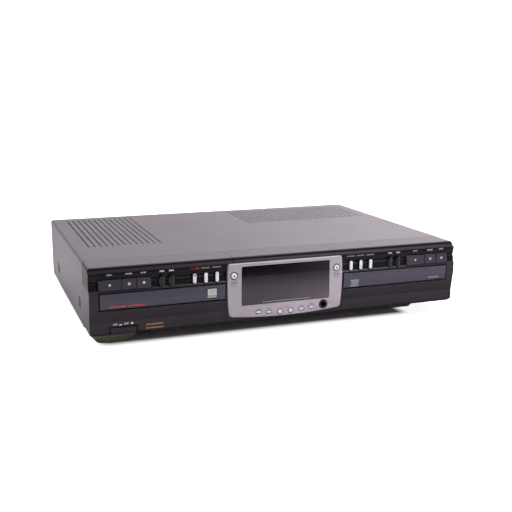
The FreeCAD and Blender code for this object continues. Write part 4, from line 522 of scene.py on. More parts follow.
@dataclass(frozen=True)
class SolderMask(Finish):
    """Circuit board: green mask over copper tracks."""

    track: Rgb = (52, 112, 66)
    density: float = 260.0
    gap: float = 0.09

    def paint(self, sheet: ShaderSheet) -> None:
        """Lay the board's pattern, gloss and relief.

        Args:
            sheet: Nodes of the finish's material.
        """
        bricks = sheet.node("ShaderNodeTexBrick", Vector=sheet.scaled([self.density] * 3))
        bricks.inputs["Scale"].default_value = 1.0
        bricks.inputs["Mortar Size"].default_value = self.gap
        sheet.feed("Base Color", sheet.blend(bricks.outputs["Fac"], self.colour, self.track))
        sheet.bump(bricks.outputs["Fac"], 0.03)
        sheet.bump(sheet.noise(1.2), 0.01)


@dataclass(frozen=True)
class Laminations(Finish):
    """Stacked and varnished sheets of iron, seen on their edges."""

    thickness: float = 0.5

    def paint(self, sheet: ShaderSheet) -> None:
        """Lay the core's pattern, gloss and relief.

        Args:
            sheet: Nodes of the finish's material.
        """
        layers = sheet.noise(self.thickness, 1.0, (0.02, 1, 0.02))
        sheet.feed("Base Color", sheet.blend(sheet.widen(layers, 0.4), self.shade(-0.3), self.shade(0.2)))
        sheet.bump(layers, 0.08)


@dataclass(frozen=True)
class Connector(Finish):
    """Black socket blocks whose barrels are plated beyond the panel."""

    plate: Rgb = (196, 190, 176)
    plate_roughness: float = 0.28
    panel_y: float = 151.1
    fade: float = 0.1

    def paint(self, sheet: ShaderSheet) -> None:
        """Lay the connectors' pattern, gloss and relief.

        Args:
            sheet: Nodes of the finish's material.
        """
        outside = sheet.step("Y", self.panel_y, self.fade)
        sheet.feed("Base Color", sheet.blend(outside, self.colour, self.plate))
        sheet.feed("Metallic", outside)
        sheet.feed("Roughness", sheet.span(outside, self.roughness, self.plate_roughness))
        sheet.bump(sheet.noise(0.7), 0.015)


class Look(Enum):
    """Finishes of the recorder."""

    COVER = Lacquer("cover_lacquer", (84, 80, 84), 0.42, peel=0.9, depth=0.03)
    REAR = Lacquer("rear_lacquer", (58, 57, 60), 0.45)
    FASCIA = Housing("fascia_plastic", (46, 43, 48), 0.34, depth=0.006)
    DRAWER = Moulding("drawer_plastic", (60, 58, 72), 0.24, mottle=0.04, depth=0.006)
    KEY = Moulding("key_plastic", (60, 57, 65), 0.32, mottle=0.05, depth=0.006)
    SKIP = Moulding("skip_plastic", (24, 22, 26), 0.28, mottle=0.05, depth=0.006)
    WHITE_KEY = Moulding("white_key_plastic", (240, 240, 243), 0.3, mottle=0.01, depth=0.006)
    # Pale caps whose sides are painted dark as painted shade on their flanks.
    PILL = Capped("pill_plastic", (236, 236, 240), 0.3, depth=0.006)
    BEZEL = Lacquer("bezel_lacquer", (176, 170, 177), 0.34, peel=0.3, depth=0.008, metallic=0.2, coat=0.1)
    PANE = SmokedPane("smoked_pane", (36, 30, 36), 0.12)
    # Feet: colour lightened to olive grey as painted light, for the light that falls on the front feet.
    FOOT = Moulding("foot_plastic", (112, 110, 92), 0.5, grain=0.6, depth=0.03)
    SCREW = Plating("screw_steel", (92, 90, 92), 0.34, stretch=(1, 1, 1))
    CHASSIS = Plating("zinc_sheet", (176, 178, 180), 0.34)
    BRIGHT = Plating("bright_steel", (200, 200, 202), 0.24)
    SOCKET = Moulding("socket_plastic", (22, 22, 24), 0.3)
    CONNECTOR = Connector("connector", (24, 24, 26), 0.4)
    BOARD = SolderMask("solder_mask", (32, 88, 48), 0.35)
    CORE = Laminations("laminations", (92, 78, 66), 0.45)
    LOADER = Moulding("loader_plastic", (40, 40, 43), 0.5, grain=0.5)
    TRAY = Moulding("tray_plastic", (30, 30, 33), 0.48, grain=0.4, depth=0.02)
    GEAR = Moulding("gear_plastic", (222, 218, 206), 0.4, mottle=0.03)
    BELT = Moulding("belt_rubber", (28, 28, 28), 0.7, grain=0.25, depth=0.02)
    PALE_INK = Ink("pale_ink", (238, 236, 242), 0.5)
    LABEL_INK = Ink("label_ink", (146, 144, 152), 0.5)
    GREY_INK = Ink("grey_ink", (80, 76, 84), 0.5)
    RED_INK = Ink("red_ink", (206, 46, 50), 0.45)
    GOLD_INK = Ink("gold_ink", (164, 120, 62), 0.42)
    GREEN_INK = Ink("green_ink", (140, 172, 150), 0.45)
    SILVER_INK = Ink("silver_ink", (198, 198, 194), 0.35)
    FRAME_INK = Ink("frame_ink", (40, 42, 48), 0.4)
    MARK_INK = Ink("mark_ink", (150, 150, 158), 0.4)
    # Dark rings in the gaps round the caps: painted shade of the gap.
    GASKET = Moulding("gap_shade_rubber", (26, 24, 28), 0.6, grain=0.2)
    JACK_RING = Plating("jack_ring", (92, 98, 88), 0.4, stretch=(1, 1, 1))
    RING_WHITE = Moulding("ring_white", (222, 220, 214), 0.35, mottle=0.02)
    RING_RED = Moulding("ring_red", (178, 32, 34), 0.35, mottle=0.04)


class Finishes:
    """Builds each finish once and puts it on CAD nodes."""

    NODES = {
        Look.COVER: "top_cover",
        Look.REAR: "rear_panel",
        Look.FASCIA: "fascia power_button",
        Look.BEZEL: "centre_bezel",
        Look.PANE: "display_window",
        Look.FOOT: "feet",
        Look.SCREW: "screws_and_standoffs",
        Look.CHASSIS: "base_chassis clamp_bridges {}_pickup_frame",
        Look.BRIGHT: "loading_motors",
        Look.SOCKET: "headphone_socket mains_inlet",
        Look.CONNECTOR: "rear_sockets",
        Look.BOARD: "front_board main_board power_supply_board",
        Look.CORE: "transformer",
        Look.LOADER: "loader_frames",
        Look.BELT: "drive_belts",
        Look.DRAWER: "{}_drawer_front",
        Look.TRAY: "{}_disc_tray {}_laser_pickup",
        Look.GEAR: "{}_drive_gear {}_motor_pulley {}_turntable {}_clamp_puck",
        Look.KEY: "{}_play_key {}_pause_key {}_stop_key",
        Look.SKIP: "{}_skip_back_key {}_skip_forward_key",
        Look.PILL: "{}_option_1_key {}_option_2_key {}_option_3_key",
        Look.WHITE_KEY: "{}_eject_button menu_key_1 menu_key_2 menu_key_3 menu_key_4 menu_key_5 menu_key_6",
    }

    def __init__(self) -> None:
        """Start with no material made."""
        self.made: dict[Look, Material] = {}

    def material(self, look: Look) -> Material:
        """The material of a finish, made the first time that it is asked for.

        Args:
            look: The finish.

        Returns:
            Its material.
        """
        if look not in self.made:
            self.made[look] = look.value.build()
        return self.made[look]

    def dress(self) -> None:
        """Put the finishes on all CAD nodes; braces in a name stand for a deck."""
        for look, nodes in self.NODES.items():
            for deck in Deck:
                for node in nodes.format(*[deck.value] * nodes.count("{}")).split():
                    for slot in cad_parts[node].material_slots:
                        slot.material = self.material(look)
        LOG.info("finishes: %d materials on %d nodes", len(self.made), len(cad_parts))


class Deck(Enum):
    """The two decks, by the prefix of their nodes."""

    LEFT = "left"
    RIGHT = "right"


class Glyph(Enum):
    """Plain transport marks: loops of (across, up) points round the middle, one unit high."""

    PLAY = (((-0.4, -0.5), (0.5, 0.0), (-0.4, 0.5)),)
    PAUSE = (((-0.42, -0.5), (-0.12, -0.5), (-0.12, 0.5), (-0.42, 0.5)),
             ((0.12, -0.5), (0.42, -0.5), (0.42, 0.5), (0.12, 0.5)))
    STOP = (((-0.5, -0.5), (0.5, -0.5), (0.5, 0.5), (-0.5, 0.5)),)
    SKIP_BACK = (((-0.95, -0.5), (-0.75, -0.5), (-0.75, 0.5), (-0.95, 0.5)),
                 ((0.15, -0.5), (0.15, 0.5), (-0.7, 0.0)), ((1.0, -0.5), (1.0, 0.5), (0.15, 0.0)))
    SKIP_FORWARD = (((0.75, -0.5), (0.95, -0.5), (0.95, 0.5), (0.75, 0.5)),
                    ((-0.15, 0.5), (-0.15, -0.5), (0.7, 0.0)), ((-1.0, 0.5), (-1.0, -0.5), (-0.15, 0.0)))
    EJECT = (((-0.5, -0.5), (0.5, -0.5), (0.5, -0.25), (-0.5, -0.25)),
             ((-0.5, -0.1), (0.5, -0.1), (0.0, 0.5)))


class PrintedFilm:
    """Ink on the front of one node: flat shapes laid on its surface as a thin closed film."""

    STEP = 0.3

    def __init__(self, name: str, node: str, film: float = 0.05) -> None:
        """Start an empty film.

        Args:
            name: Name of the piece.
            node: CAD node that carries the ink.
            film: How far it stands over the surface, in millimetres.
        """
        self.name = name
        self.film = film
        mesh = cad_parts[node].data
        self.surface = BVHTree.FromPolygons([v.co for v in mesh.vertices],
                                            [tuple(p.vertices) for p in mesh.polygons])
        self.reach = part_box(node)[0].y - 0.01
        self.mesh = bmesh.new()

    def on_surface(self, across: float, up: float, lift: float) -> Vector:
        """Point on the node's front at a place in millimetres, lifted towards the viewer.

        Args:
            across: Place along X.
            up: Place along Z.
            lift: How far it stands off the surface.

        Returns:
            The point, in metres.
        """
        origin = Vector((across * MM, self.reach, up * MM))
        hit = self.surface.ray_cast(origin, Vector((0, 1, 0)))[0]
        if hit is None:
            hit = self.surface.find_nearest(origin)[0]
        return Vector((origin.x, hit.y - lift * MM, origin.z))

    def lay(self, points: list[Point], faces: list[Face], across: float, up: float) -> None:
        """Lay a flat shape.

        Args:
            points: Corners in millimetres round the shape's middle.
            faces: Faces of the shape, anticlockwise as seen from the front.
            across: Place of the middle along X.
            up: Place of the middle along Z.
        """
        flat = bmesh.new()
        corners = [flat.verts.new((x, 0, z)) for x, z in points]
        for face in faces:
            flat.faces.new([corners[index] for index in face])
        level = min(z for _, z in points) + self.STEP
        while level < max(z for _, z in points):
            bmesh.ops.bisect_plane(flat, geom=[*flat.verts, *flat.edges, *flat.faces], plane_co=(0, 0, level),
                                   plane_no=(0, 0, 1))
            level += self.STEP
        front, back = ({vert: self.mesh.verts.new(self.on_surface(across + vert.co.x, up + vert.co.z, lift))
                        for vert in flat.verts} for lift in (self.film, -self.film))
        for face in flat.faces:
            self.mesh.faces.new([front[vert] for vert in face.verts])
            self.mesh.faces.new([back[vert] for vert in reversed(face.verts)])
        for edge in flat.edges:
            if edge.is_boundary:
                start, end = edge.link_loops[0].vert, edge.link_loops[0].link_loop_next.vert
                self.mesh.faces.new([front[end], front[start], back[start], back[end]])
        flat.free()

    def glyph(self, glyph: Glyph, height: float, across: float, up: float) -> None:
        """Lay a transport mark of a height."""
        for loop in glyph.value:
            self.lay([(x * height, z * height) for x, z in loop], [tuple(range(len(loop)))], across, up)

    def bar(self, width: float, height: float, across: float, up: float) -> None:
        """Lay a rectangle."""
        x, z = width / 2, height / 2
        self.lay([(-x, -z), (x, -z), (x, z), (-x, z)], [(0, 1, 2, 3)], across, up)

    def dashes(self, lengths: tuple[float, ...], height: float, across: float, up: float,
               gap: float = 0.6) -> None:
        """Lay a row of dashes that is centred on its place.

        Args:
            lengths: Length of each dash in millimetres.
            height: Height of the dashes.
            across: Place of the middle along X.
            up: Place of the middle along Z.
            gap: Gap between two dashes.
        """
        start = across - (sum(lengths) + gap * (len(lengths) - 1)) / 2
        for length in lengths:
            self.bar(length, height, start + length / 2, up)
            start += length + gap

    def arc(self, radius: float, width: float, across: float, up: float, start: float, end: float,
            steps: int = 20) -> None:
        """Lay a curved line between two angles in degrees, anticlockwise from the right.

        Args:
            radius: Radius of the line's middle in millimetres.
            width: Width of the line.
            across: Place of the centre along X.
            up: Place of the centre along Z.
            start: Angle where it starts.
            end: Angle where it ends.
            steps: Number of straight stretches.
        """
        points: list[Point] = []
        for step in range(steps + 1):
            angle = math.radians(start + (end - start) * step / steps)
            for reach in (radius + width / 2, radius - width / 2):
                points.append((reach * math.cos(angle), reach * math.sin(angle)))
        faces = [(2 * step, 2 * step + 2, 2 * step + 3, 2 * step + 1) for step in range(steps)]
        self.lay(points, faces, across, up)

    def word(self, text: str, height: float, across: float, up: float, weight: float = 0.01) -> None:
        """Lay a generic word in the plain built-in typeface, made bolder by a share of its height.

        Args:
            text: The word.
            height: Size of its letters in millimetres.
            across: Place of the middle along X.
            up: Place of the middle along Z.
            weight: Share of the height that is added all round a letter.
        """
        curve = bpy.data.curves.new(self.name, "FONT")
        curve.body = text
        curve.size = height
        curve.offset = weight * height
        curve.resolution_u = 2
        curve.align_x = "CENTER"
        curve.align_y = "CENTER"
        carrier = add_object(self.name, curve)
        flat = bpy.data.meshes.new_from_object(carrier.evaluated_get(bpy.context.evaluated_depsgraph_get()))
        faces = []
        for polygon in flat.polygons:
            corners = tuple(polygon.vertices)
            faces.append(corners if polygon.normal.z > 0 else corners[::-1])
        self.lay([(v.co.x, v.co.y) for v in flat.vertices], faces, across, up)
        bpy.data.objects.remove(carrier)
        bpy.data.curves.remove(curve)
        bpy.data.meshes.remove(flat)

    def finish(self, body: str, ink: Material) -> bpy.types.Object:
        """Turn the film into a piece that rides on a body.

        Args:
            body: Body that carries it.
            ink: Its material.

        Returns:
            The piece.
        """
        mesh = bpy.data.meshes.new(self.name)
        self.mesh.to_mesh(mesh)
        self.mesh.free()
        mesh.materials.append(ink)
        piece = add_object(self.name, mesh)
        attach(piece, body)
        return piece


class Repeated(NodeTree):
    """Geometry Nodes tree that sets one small solid along a row."""

    def __init__(self, name: str) -> None:
        """Start a tree with its output.

        Args:
            name: Name of the tree and of its mesh.
        """
        self.name = name
        self.tree = bpy.data.node_groups.new(name, "GeometryNodeTree")
        super().__init__(self.tree)
        self.tree.interface.new_socket("Geometry", in_out="OUTPUT", socket_type="NodeSocketGeometry")
        self.inputs = self.node("NodeGroupInput")
        self.values: dict[str, object] = {}

    def number(self, name: str, value: "int | float | Vector | Material") -> Socket:
        """Add a named input with its value and return its socket inside the tree.

        Args:
            name: Name of the input.
            value: Its value.

        Returns:
            Its socket inside the tree.
        """
        kinds = {int: "NodeSocketInt", float: "NodeSocketFloat", Vector: "NodeSocketVector",
                 Material: "NodeSocketMaterial"}
        item = self.tree.interface.new_socket(name, in_out="INPUT", socket_type=kinds[type(value)])
        self.values[item.identifier] = value
        return self.inputs.outputs[name]

    def row(self, count: int, step: Vector) -> Socket:
        """Points in a straight row, round its middle.

        Args:
            count: How many points.
            step: From one point to the next, in metres.

        Returns:
            The points.
        """
        line = self.node("GeometryNodeMeshLine", Count=self.number("Count", count),
                         Start_Location=self.number("Start", step * (-(count - 1) / 2)),
                         Offset=self.number("Step", step))
        return line.outputs["Mesh"]

    def build(self, points: Socket, solid: Socket, material: Material, turn: Vector) -> bpy.types.Mesh:
        """Close the tree and turn its result into a plain mesh.

        Args:
            points: Where the solids stand.
            solid: The solid that repeats.
            material: Finish of the solids.
            turn: Euler angles of each solid.

        Returns:
            The mesh, round the row's middle.
        """
        placed = self.node("GeometryNodeInstanceOnPoints", Points=points, Instance=solid,
                           Rotation=self.number("Turn", turn))
        realized = self.node("GeometryNodeRealizeInstances", Geometry=placed.outputs["Instances"])
        dressed = self.node("GeometryNodeSetMaterial", Geometry=realized.outputs["Geometry"],
                            Material=self.number("Finish", material))
        self.node("NodeGroupOutput", Geometry=dressed.outputs["Geometry"])
        carrier = add_object(self.name, bpy.data.meshes.new(self.name))
        modifier = carrier.modifiers.new(self.name, "NODES")
        modifier.node_group = self.tree
        for identifier, value in self.values.items():
            modifier[identifier] = value
        evaluated = carrier.evaluated_get(bpy.context.evaluated_depsgraph_get())
        mesh = bpy.data.meshes.new_from_object(evaluated)
        carrier.modifiers.remove(modifier)
        bpy.data.objects.remove(carrier)
        return mesh


def place(mesh: bpy.types.Mesh, name: str, middle: Vector, body: str) -> bpy.types.Object:
    """Make a piece of a mesh, with its place in its vertices, that rides on a body.

    Args:
        mesh: Mesh round its own middle.
        name: Name of the piece.
        middle: Where the middle goes, in metres.
        body: Body that carries it.

    Returns:
        The piece.
    """
    mesh.transform(Matrix.Translation(middle))
    mesh.name = name
    piece = add_object(name, mesh)
    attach(piece, body)
    return piece


@dataclass
class RibRow:
    """Row of rounded ribs, one above the other."""

    count: int = 7
    pitch: float = 1.15
    width: float = 3.0
    radius: float = 0.36
    sides: int = 12

    def build(self, name: str, finish: Material) -> bpy.types.Mesh:
        """Make the ribs round their common middle.

        Args:
            name: Name of the piece.
            finish: Its material.

        Returns:
            The mesh.
        """
        tree = Repeated(name)
        points = tree.row(self.count, Vector((0, 0, self.pitch * MM)))
        rib = tree.node("GeometryNodeMeshCylinder", Vertices=tree.number("Sides", self.sides),
                        Radius=tree.number("Radius", self.radius * MM),
                        Depth=tree.number("Width", self.width * MM))
        return tree.build(points, rib.outputs["Mesh"], finish, Vector((0, QUARTER_TURN, 0)))


@dataclass
class RingRow:
    """Row of rings that lie upright and face the front: round, or long with round ends."""

    width: float
    height: float
    section: float
    count: int = 1
    pitch: float = 14.0
    corner_steps: int = 10
    sides: int = 10

    def build(self, name: str, finish: Material) -> bpy.types.Mesh:
        """Make the rings side by side, round their common middle.

        Args:
            name: Name of the piece.
            finish: Its material.

        Returns:
            The mesh.
        """
        tree = Repeated(name)
        points = tree.row(self.count, Vector((self.pitch * MM, 0, 0)))
        path = tree.node("GeometryNodeCurvePrimitiveQuadrilateral",
                         Width=tree.number("Width", self.width * MM),
                         Height=tree.number("Height", self.height * MM))
        rounded = tree.node("GeometryNodeFilletCurve", Curve=path.outputs["Curve"],
                            Radius=tree.number("Corner", self.height * 0.499 * MM))
        rounded.mode = "POLY"
        tree.links.new(tree.number("Corner Steps", self.corner_steps), rounded.inputs[1])
        profile = tree.node("GeometryNodeCurvePrimitiveCircle", Resolution=tree.number("Sides", self.sides),
                            Radius=tree.number("Section", self.section * MM))
        ring = tree.node("GeometryNodeCurveToMesh", Curve=rounded.outputs["Curve"],
                         Profile_Curve=profile.outputs["Curve"])
        return tree.build(points, ring.outputs["Mesh"], finish, Vector((QUARTER_TURN, 0, 0)))


@dataclass
class Dressing:
    """What every class that adds pieces has: the finishes."""

    finishes: Finishes

    def ink(self, film: PrintedFilm, body: str, look: Look) -> None:
        """Close a film of ink on a body."""
        film.finish(body, self.finishes.material(look))

    def fit(self, row: "RibRow | RingRow", name: str, look: Look, middle: Vector, body: str) -> None:
        """Make a row of ribs or rings and set it on a body."""
        place(row.build(name, self.finishes.material(look)), name, middle, body)


@dataclass
class DeckFront(Dressing):
    """Marks and ribs on the keys of one deck, and the words over them."""

    deck: Deck
    key_mark: float = 2.7
    stop_share: float = 0.8
    mark_lift: float = 0.3
    label_z: float = 80.1
    word_height: float = 2.5
    lip_film: float = 0.15
    skip_height: float = 2.4
    pill_label: tuple[float, ...] = (1.2, 1.3, 1.1, 1.4, 1.2, 1.1)
    pill_label_height: float = 1.6
    pill_label_gap: float = 0.45
    rib_sink: float = 0.08
    dotted_ribs: int = 5
    dotted_drop: float = 1.2

    def node(self, name: str) -> str:
        """Name of a node of this deck."""
        return f"{self.deck.value}_{name}"

    def mark_keys(self) -> None:
        """Print the transport marks on the wide keys."""
        for key, glyph in (("play_key", Glyph.PLAY), ("pause_key", Glyph.PAUSE), ("stop_key", Glyph.STOP)):
            across, up = face_middle(self.node(key))
            film = PrintedFilm(self.node(f"{key}_mark"), self.node(key))
            share = self.stop_share if glyph is Glyph.STOP else 1.0
            film.glyph(glyph, self.key_mark * share, across, up + self.mark_lift)
            self.ink(film, self.node(key), Look.PALE_INK)

    def label_keys(self) -> None:
        """Print the words and marks on the lip over the keys."""
        film = PrintedFilm(self.node("lip_labels"), "fascia", self.lip_film)
        for key, text in (("play_key", "PLAY"), ("pause_key", "PAUSE"), ("stop_key", "STOP")):
            film.word(text, self.word_height, face_middle(self.node(key))[0], self.label_z)
        for key, glyph in (("skip_back_key", Glyph.SKIP_BACK), ("skip_forward_key", Glyph.SKIP_FORWARD)):
            film.glyph(glyph, self.skip_height, face_middle(self.node(key))[0], self.label_z)
        self.ink(film, "case", Look.PALE_INK)
        row = PrintedFilm(self.node("pill_labels"), "fascia", self.lip_film)
        for index in (2, 3) if self.deck is Deck.LEFT else (1, 2, 3):
            across = face_middle(self.node(f"option_{index}_key"))[0]
            row.dashes(self.pill_label, self.pill_label_height, across, self.label_z, self.pill_label_gap)
        self.ink(row, "case", Look.LABEL_INK)

    def rib_pills(self) -> None:
        """Set a row of ribs on the face of each narrow key."""
        for index in (1, 2, 3):
            key = self.node(f"option_{index}_key")
            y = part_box(key)[0].y + self.rib_sink * MM
            if self.deck is Deck.LEFT and index == 1:
                self.fit(RibRow(count=self.dotted_ribs), f"{key}_ribs", Look.PILL,
                         facing(key, y, self.dotted_drop), key)
            else:
                self.fit(RibRow(), f"{key}_ribs", Look.PILL, facing(key, y), key)

    def build(self) -> None:
        """Dress the deck's front."""
        self.mark_keys()
        self.label_keys()
        self.rib_pills()
        LOG.info("%s deck: marks, labels and ribs", self.deck.value)


@dataclass
class DrawerPrints(Dressing):
    """Ink on the drawer fronts and on the fascia round them."""

    badge: tuple[float, float, float] = (-85.9, 51.7, 10.0)
    badge_layers: tuple[tuple[str, float, Look, tuple[Place, ...]], ...] = (
        ("badge_frame", 0.03, Look.FRAME_INK, ((1.18, 1.18, 0.0),)),
        ("badge_upper", 0.05, Look.SILVER_INK, ((1.0, 0.66, 0.17),)),
        ("badge_lines", 0.07, Look.MARK_INK, ((0.5, 0.07, 0.08), (0.7, 0.07, 0.3))),
        ("badge_lower", 0.05, Look.GREEN_INK, ((1.0, 0.34, -0.33),)))
    red_bars: tuple[Bar, ...] = ((18.0, 1.2, -188.4, 46.4), (18.6, 1.2, -167.8, 46.4))
    grey_bars: tuple[Bar, ...] = ((10.7, 1.6, 85.3, 45.2), (8.4, 1.6, 85.3, 47.4), (10.7, 1.6, 85.3, 49.6),
                                  (10.7, 1.6, 85.3, 51.8))
    pale_row: tuple[float, ...] = (2.0, 1.6, 1.9, 0.8, 1.8, 2.0, 1.5)
    gold_rows: tuple[tuple[float, ...], ...] = ((1.9, 2.6, 1.7, 2.9, 2.2, 2.6, 1.8),
                                                (2.4, 1.9, 3.1, 1.8, 2.6, 2.1, 1.9))
    gold_x: float = -148.8
    gold_z: tuple[float, float] = (23.2, 19.3)
    switch_z: float = 26.4
    switch_height: float = 2.8
    record_z: float = 80.1
    record_height: float = 2.5
    record_row: tuple[float, ...] = (1.2, 1.3, 1.2)
    dot_radius: float = 1.3
    dot_drop: float = 3.0

    def bars(self, name: str, side: str, bars: tuple[Bar, ...], look: Look, thickness: float = 0.05) -> None:
        """Print some bars on a drawer front.

        Args:
            name: Name of the piece.
            side: Deck whose drawer carries it.
            bars: Width, height and place of each bar in millimetres.
            look: The ink.
            thickness: How far the ink stands over the surface.
        """
        film = PrintedFilm(name, f"{side}_drawer_front", thickness)
        for bar in bars:
            film.bar(*bar)
        self.ink(film, f"{side}_tray", look)

    def square_badge(self) -> None:
        """Print a plain framed square, pale above and green below, in the place of a format mark."""
        across, up, size = self.badge
        for name, thickness, look, shapes in self.badge_layers:
            bars = tuple((size * width, size * height, across, up + size * rise)
                         for width, height, rise in shapes)
            self.bars(name, "left", bars, look, thickness)

    def mark_chin(self) -> None:
        """Print the gold rows and the words over the power button."""
        gold = PrintedFilm("chin_gold_lines", "fascia")
        for lengths, up in zip(self.gold_rows, self.gold_z):
            gold.dashes(lengths, 1.7, self.gold_x, up, 0.5)
        self.ink(gold, "case", Look.GOLD_INK)
        switch = PrintedFilm("power_labels", "fascia")
        switch.word("ON", self.switch_height, -190.8, self.switch_z)
        switch.bar(3.0, 1.1, -185.2, self.switch_z - 0.8)
        switch.word("OFF", self.switch_height, -179.0, self.switch_z)
        switch.bar(2.3, 2.0, -173.0, self.switch_z)
        self.ink(switch, "case", Look.PALE_INK)

    def mark_record(self) -> None:
        """Print the red label over the record key and the dot on it."""
        key = "left_option_1_key"
        low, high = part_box(key)
        label = PrintedFilm("record_label", "fascia", 0.15)
        left = low.x / MM
        label.word("REC", self.record_height, left + 1.0, self.record_z)
        label.dashes(self.record_row, 1.6, left + 6.2, self.record_z, 0.4)
        self.ink(label, "case", Look.RED_INK)
        dot = PrintedFilm("record_dot", key)
        across, up = face_middle(key)[0], high.z / MM - self.dot_drop
        dot.arc(self.dot_radius / 2, self.dot_radius, across, up, 0, 360, 16)
        self.ink(dot, key, Look.RED_INK)

    def build(self) -> None:
        """Print all marks."""
        self.bars("left_drawer_line", "left", self.red_bars, Look.RED_INK)
        self.square_badge()
        self.bars("right_drawer_mark", "right", self.grey_bars, Look.MARK_INK)
        pale = PrintedFilm("right_drawer_row", "right_drawer_front")
        pale.dashes(self.pale_row, 1.9, 190.0, 47.2, 0.35)
        self.ink(pale, "right_tray", Look.LABEL_INK)
        self.mark_chin()
        self.mark_record()
        LOG.info("drawer and chin prints")


@dataclass
class CentrePanel(Dressing):
    """Dark rings of painted shade in the gaps round the caps, and marks on the bezel, its keys and the
    window.
    """

    face_y: float = -157.5
    eject_gap: float = 1.2
    menu_gap: float = 0.95
    flange: float = 0.4
    gap_shade_lap: float = 0.1
    slack: float = 0.08
    eject_mark: float = 2.6
    eject_rows: tuple[tuple[float, ...], ...] = ((1.7, 2.6, 1.7), (2.2, 1.6, 2.4))
    eject_drops: tuple[float, float] = (6.6, 8.2)
    smile_radius: float = 6.5
    slash: tuple[Point, ...] = ((-0.7, -1.0), (-0.2, -1.0), (0.8, 1.0), (0.3, 1.0))
    socket_ring: float = 6.9
    row: tuple[float, ...] = (2.4, 1.5, 3.0, 1.9, 2.3, 1.4, 3.2, 2.1) * 2 + (1.7, 2.6, 1.9, 2.2)

    def mark_ejects(self) -> None:
        """Print the eject marks, and the lines and the smile under each button."""
        lines = PrintedFilm("bezel_lines", "centre_bezel")
        for deck in Deck:
            key = f"{deck.value}_eject_button"
            across, up = face_middle(key)
            film = PrintedFilm(f"{key}_mark", key)
            film.glyph(Glyph.EJECT, self.eject_mark, across, up)
            self.ink(film, key, Look.FRAME_INK)
            for lengths, drop in zip(self.eject_rows, self.eject_drops):
                lines.dashes(lengths, 0.7, across, up - drop, 0.4)
            lines.arc(self.smile_radius, 0.5, across, up - 4.6, 235, 305)
        for index in (1, 2, 5, 6):
            key = f"menu_key_{index}"
            lines.dashes((1.6, 2.2), 0.55, face_middle(key)[0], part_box(key)[1].z / MM + 1.3, 0.4)
        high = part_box("headphone_socket")[1]
        lines.dashes((1.8, 2.6), 0.6, high.x / MM + 2.6, high.z / MM - 5.5, 0.4)
        self.ink(lines, "case", Look.GREY_INK)

    def mark_menu(self) -> None:
        """Print the small marks on and over the menu keys."""
        for index in range(1, 7):
            key = f"menu_key_{index}"
            film = PrintedFilm(f"{key}_mark", key)
            across, up = face_middle(key)
            if index in (3, 4):
                film.lay(list(self.slash), [(0, 1, 2, 3)], across, up)
            else:
                film.bar(1.4, 0.3, across, up)
            self.ink(film, key, Look.LABEL_INK)
        red = PrintedFilm("menu_red_line", "centre_bezel")
        red.dashes((2.2, 1.6, 2.4), 0.6, -1.0, 28.9, 0.4)
        self.ink(red, "case", Look.RED_INK)

    def mark_window(self) -> None:
        """Print the fine row along the bottom of the window."""
        row = PrintedFilm("window_row", "display_window")
        row.dashes(self.row, 0.9, 1.0, 36.6, 0.7)
        self.ink(row, "case", Look.MARK_INK)

    def ring(self, key: str, gap: float) -> None:
        """Set a dark ring in the gap round a cap, just under the bezel's face, as painted shade of the gap.

        Args:
            key: Node of the cap.
            gap: Width of the gap in millimetres.
        """
        low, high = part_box(key)
        section = (gap + self.gap_shade_lap) / 2
        inset = 2 * (gap + self.flange - section - self.slack)
        ring = RingRow((high.x - low.x) / MM - inset, (high.z - low.z) / MM - inset, section)
        middle = facing(key, (self.face_y + section + 0.1) * MM)
        self.fit(ring, f"{key}_gasket", Look.GASKET, middle, "case")

    def ring_caps(self) -> None:
        """Set the dark rings of painted shade in the gaps round the caps, and the bright ring of the
        headphone socket.
        """
        for deck in Deck:
            self.ring(f"{deck.value}_eject_button", self.eject_gap)
        for index in range(1, 7):
            self.ring(f"menu_key_{index}", self.menu_gap)
        middle = facing("headphone_socket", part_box("headphone_socket")[0].y + 0.1 * MM)
        ring = RingRow(self.socket_ring, self.socket_ring, 0.3)
        self.fit(ring, "socket_ring", Look.JACK_RING, middle, "case")

    def build(self) -> None:
        """Dress the centre panel."""
        self.ring_caps()
        self.mark_ejects()
        self.mark_menu()
        self.mark_window()
        LOG.info("centre panel: gap_shade_rings and marks")


@dataclass
class RearCollars(Dressing):
    """Colour collars round the roots of the signal sockets."""

    groups: tuple[float, ...] = (-186.0, -148.0, -110.0, -72.0)
    pitch: float = 14.0
    low_z: float = 33.6
    panel_y: float = 150.4
    barrel: float = 8.3
    section: float = 0.6

    def build(self) -> None:
        """Put red collars in the lower row and white collars in the upper row."""
        width = self.barrel + self.section
        rings = RingRow(width, width, self.section, 2, self.pitch)
        y = (self.panel_y + self.section * 0.7) * MM
        for row, look in enumerate((Look.RING_RED, Look.RING_WHITE)):
            for index, across in enumerate(self.groups):
                middle = Vector(((across + self.pitch / 2) * MM, y, (self.low_z + row * self.pitch) * MM))
                self.fit(rings, f"socket_rings_{row + 1}_{index + 1}", look, middle, "case")
        LOG.info("rear collars: %d pairs", 2 * len(self.groups))


@dataclass(frozen=True)
class Lamp:
    """Soft rectangular light."""

    name: str
    place: Place
    aim: Place
    size: Point
    power: float
    glints: bool = False

    def hang(self, colour: Place) -> None:
        """Hang the light; gloss shows it only where it has glints.

        Args:
            colour: Red, green and blue of its light, from 0 to 1.
        """
        data = bpy.data.lights.new(self.name, "AREA")
        data.shape = "RECTANGLE"
        data.size, data.size_y = self.size
        data.energy = self.power
        data.color = colour
        lamp = add_object(self.name, data)
        lamp.visible_glossy = self.glints
        lamp.location = self.place
        lamp.rotation_euler = (Vector(self.aim) - Vector(self.place)).to_track_quat("-Z", "Y").to_euler()


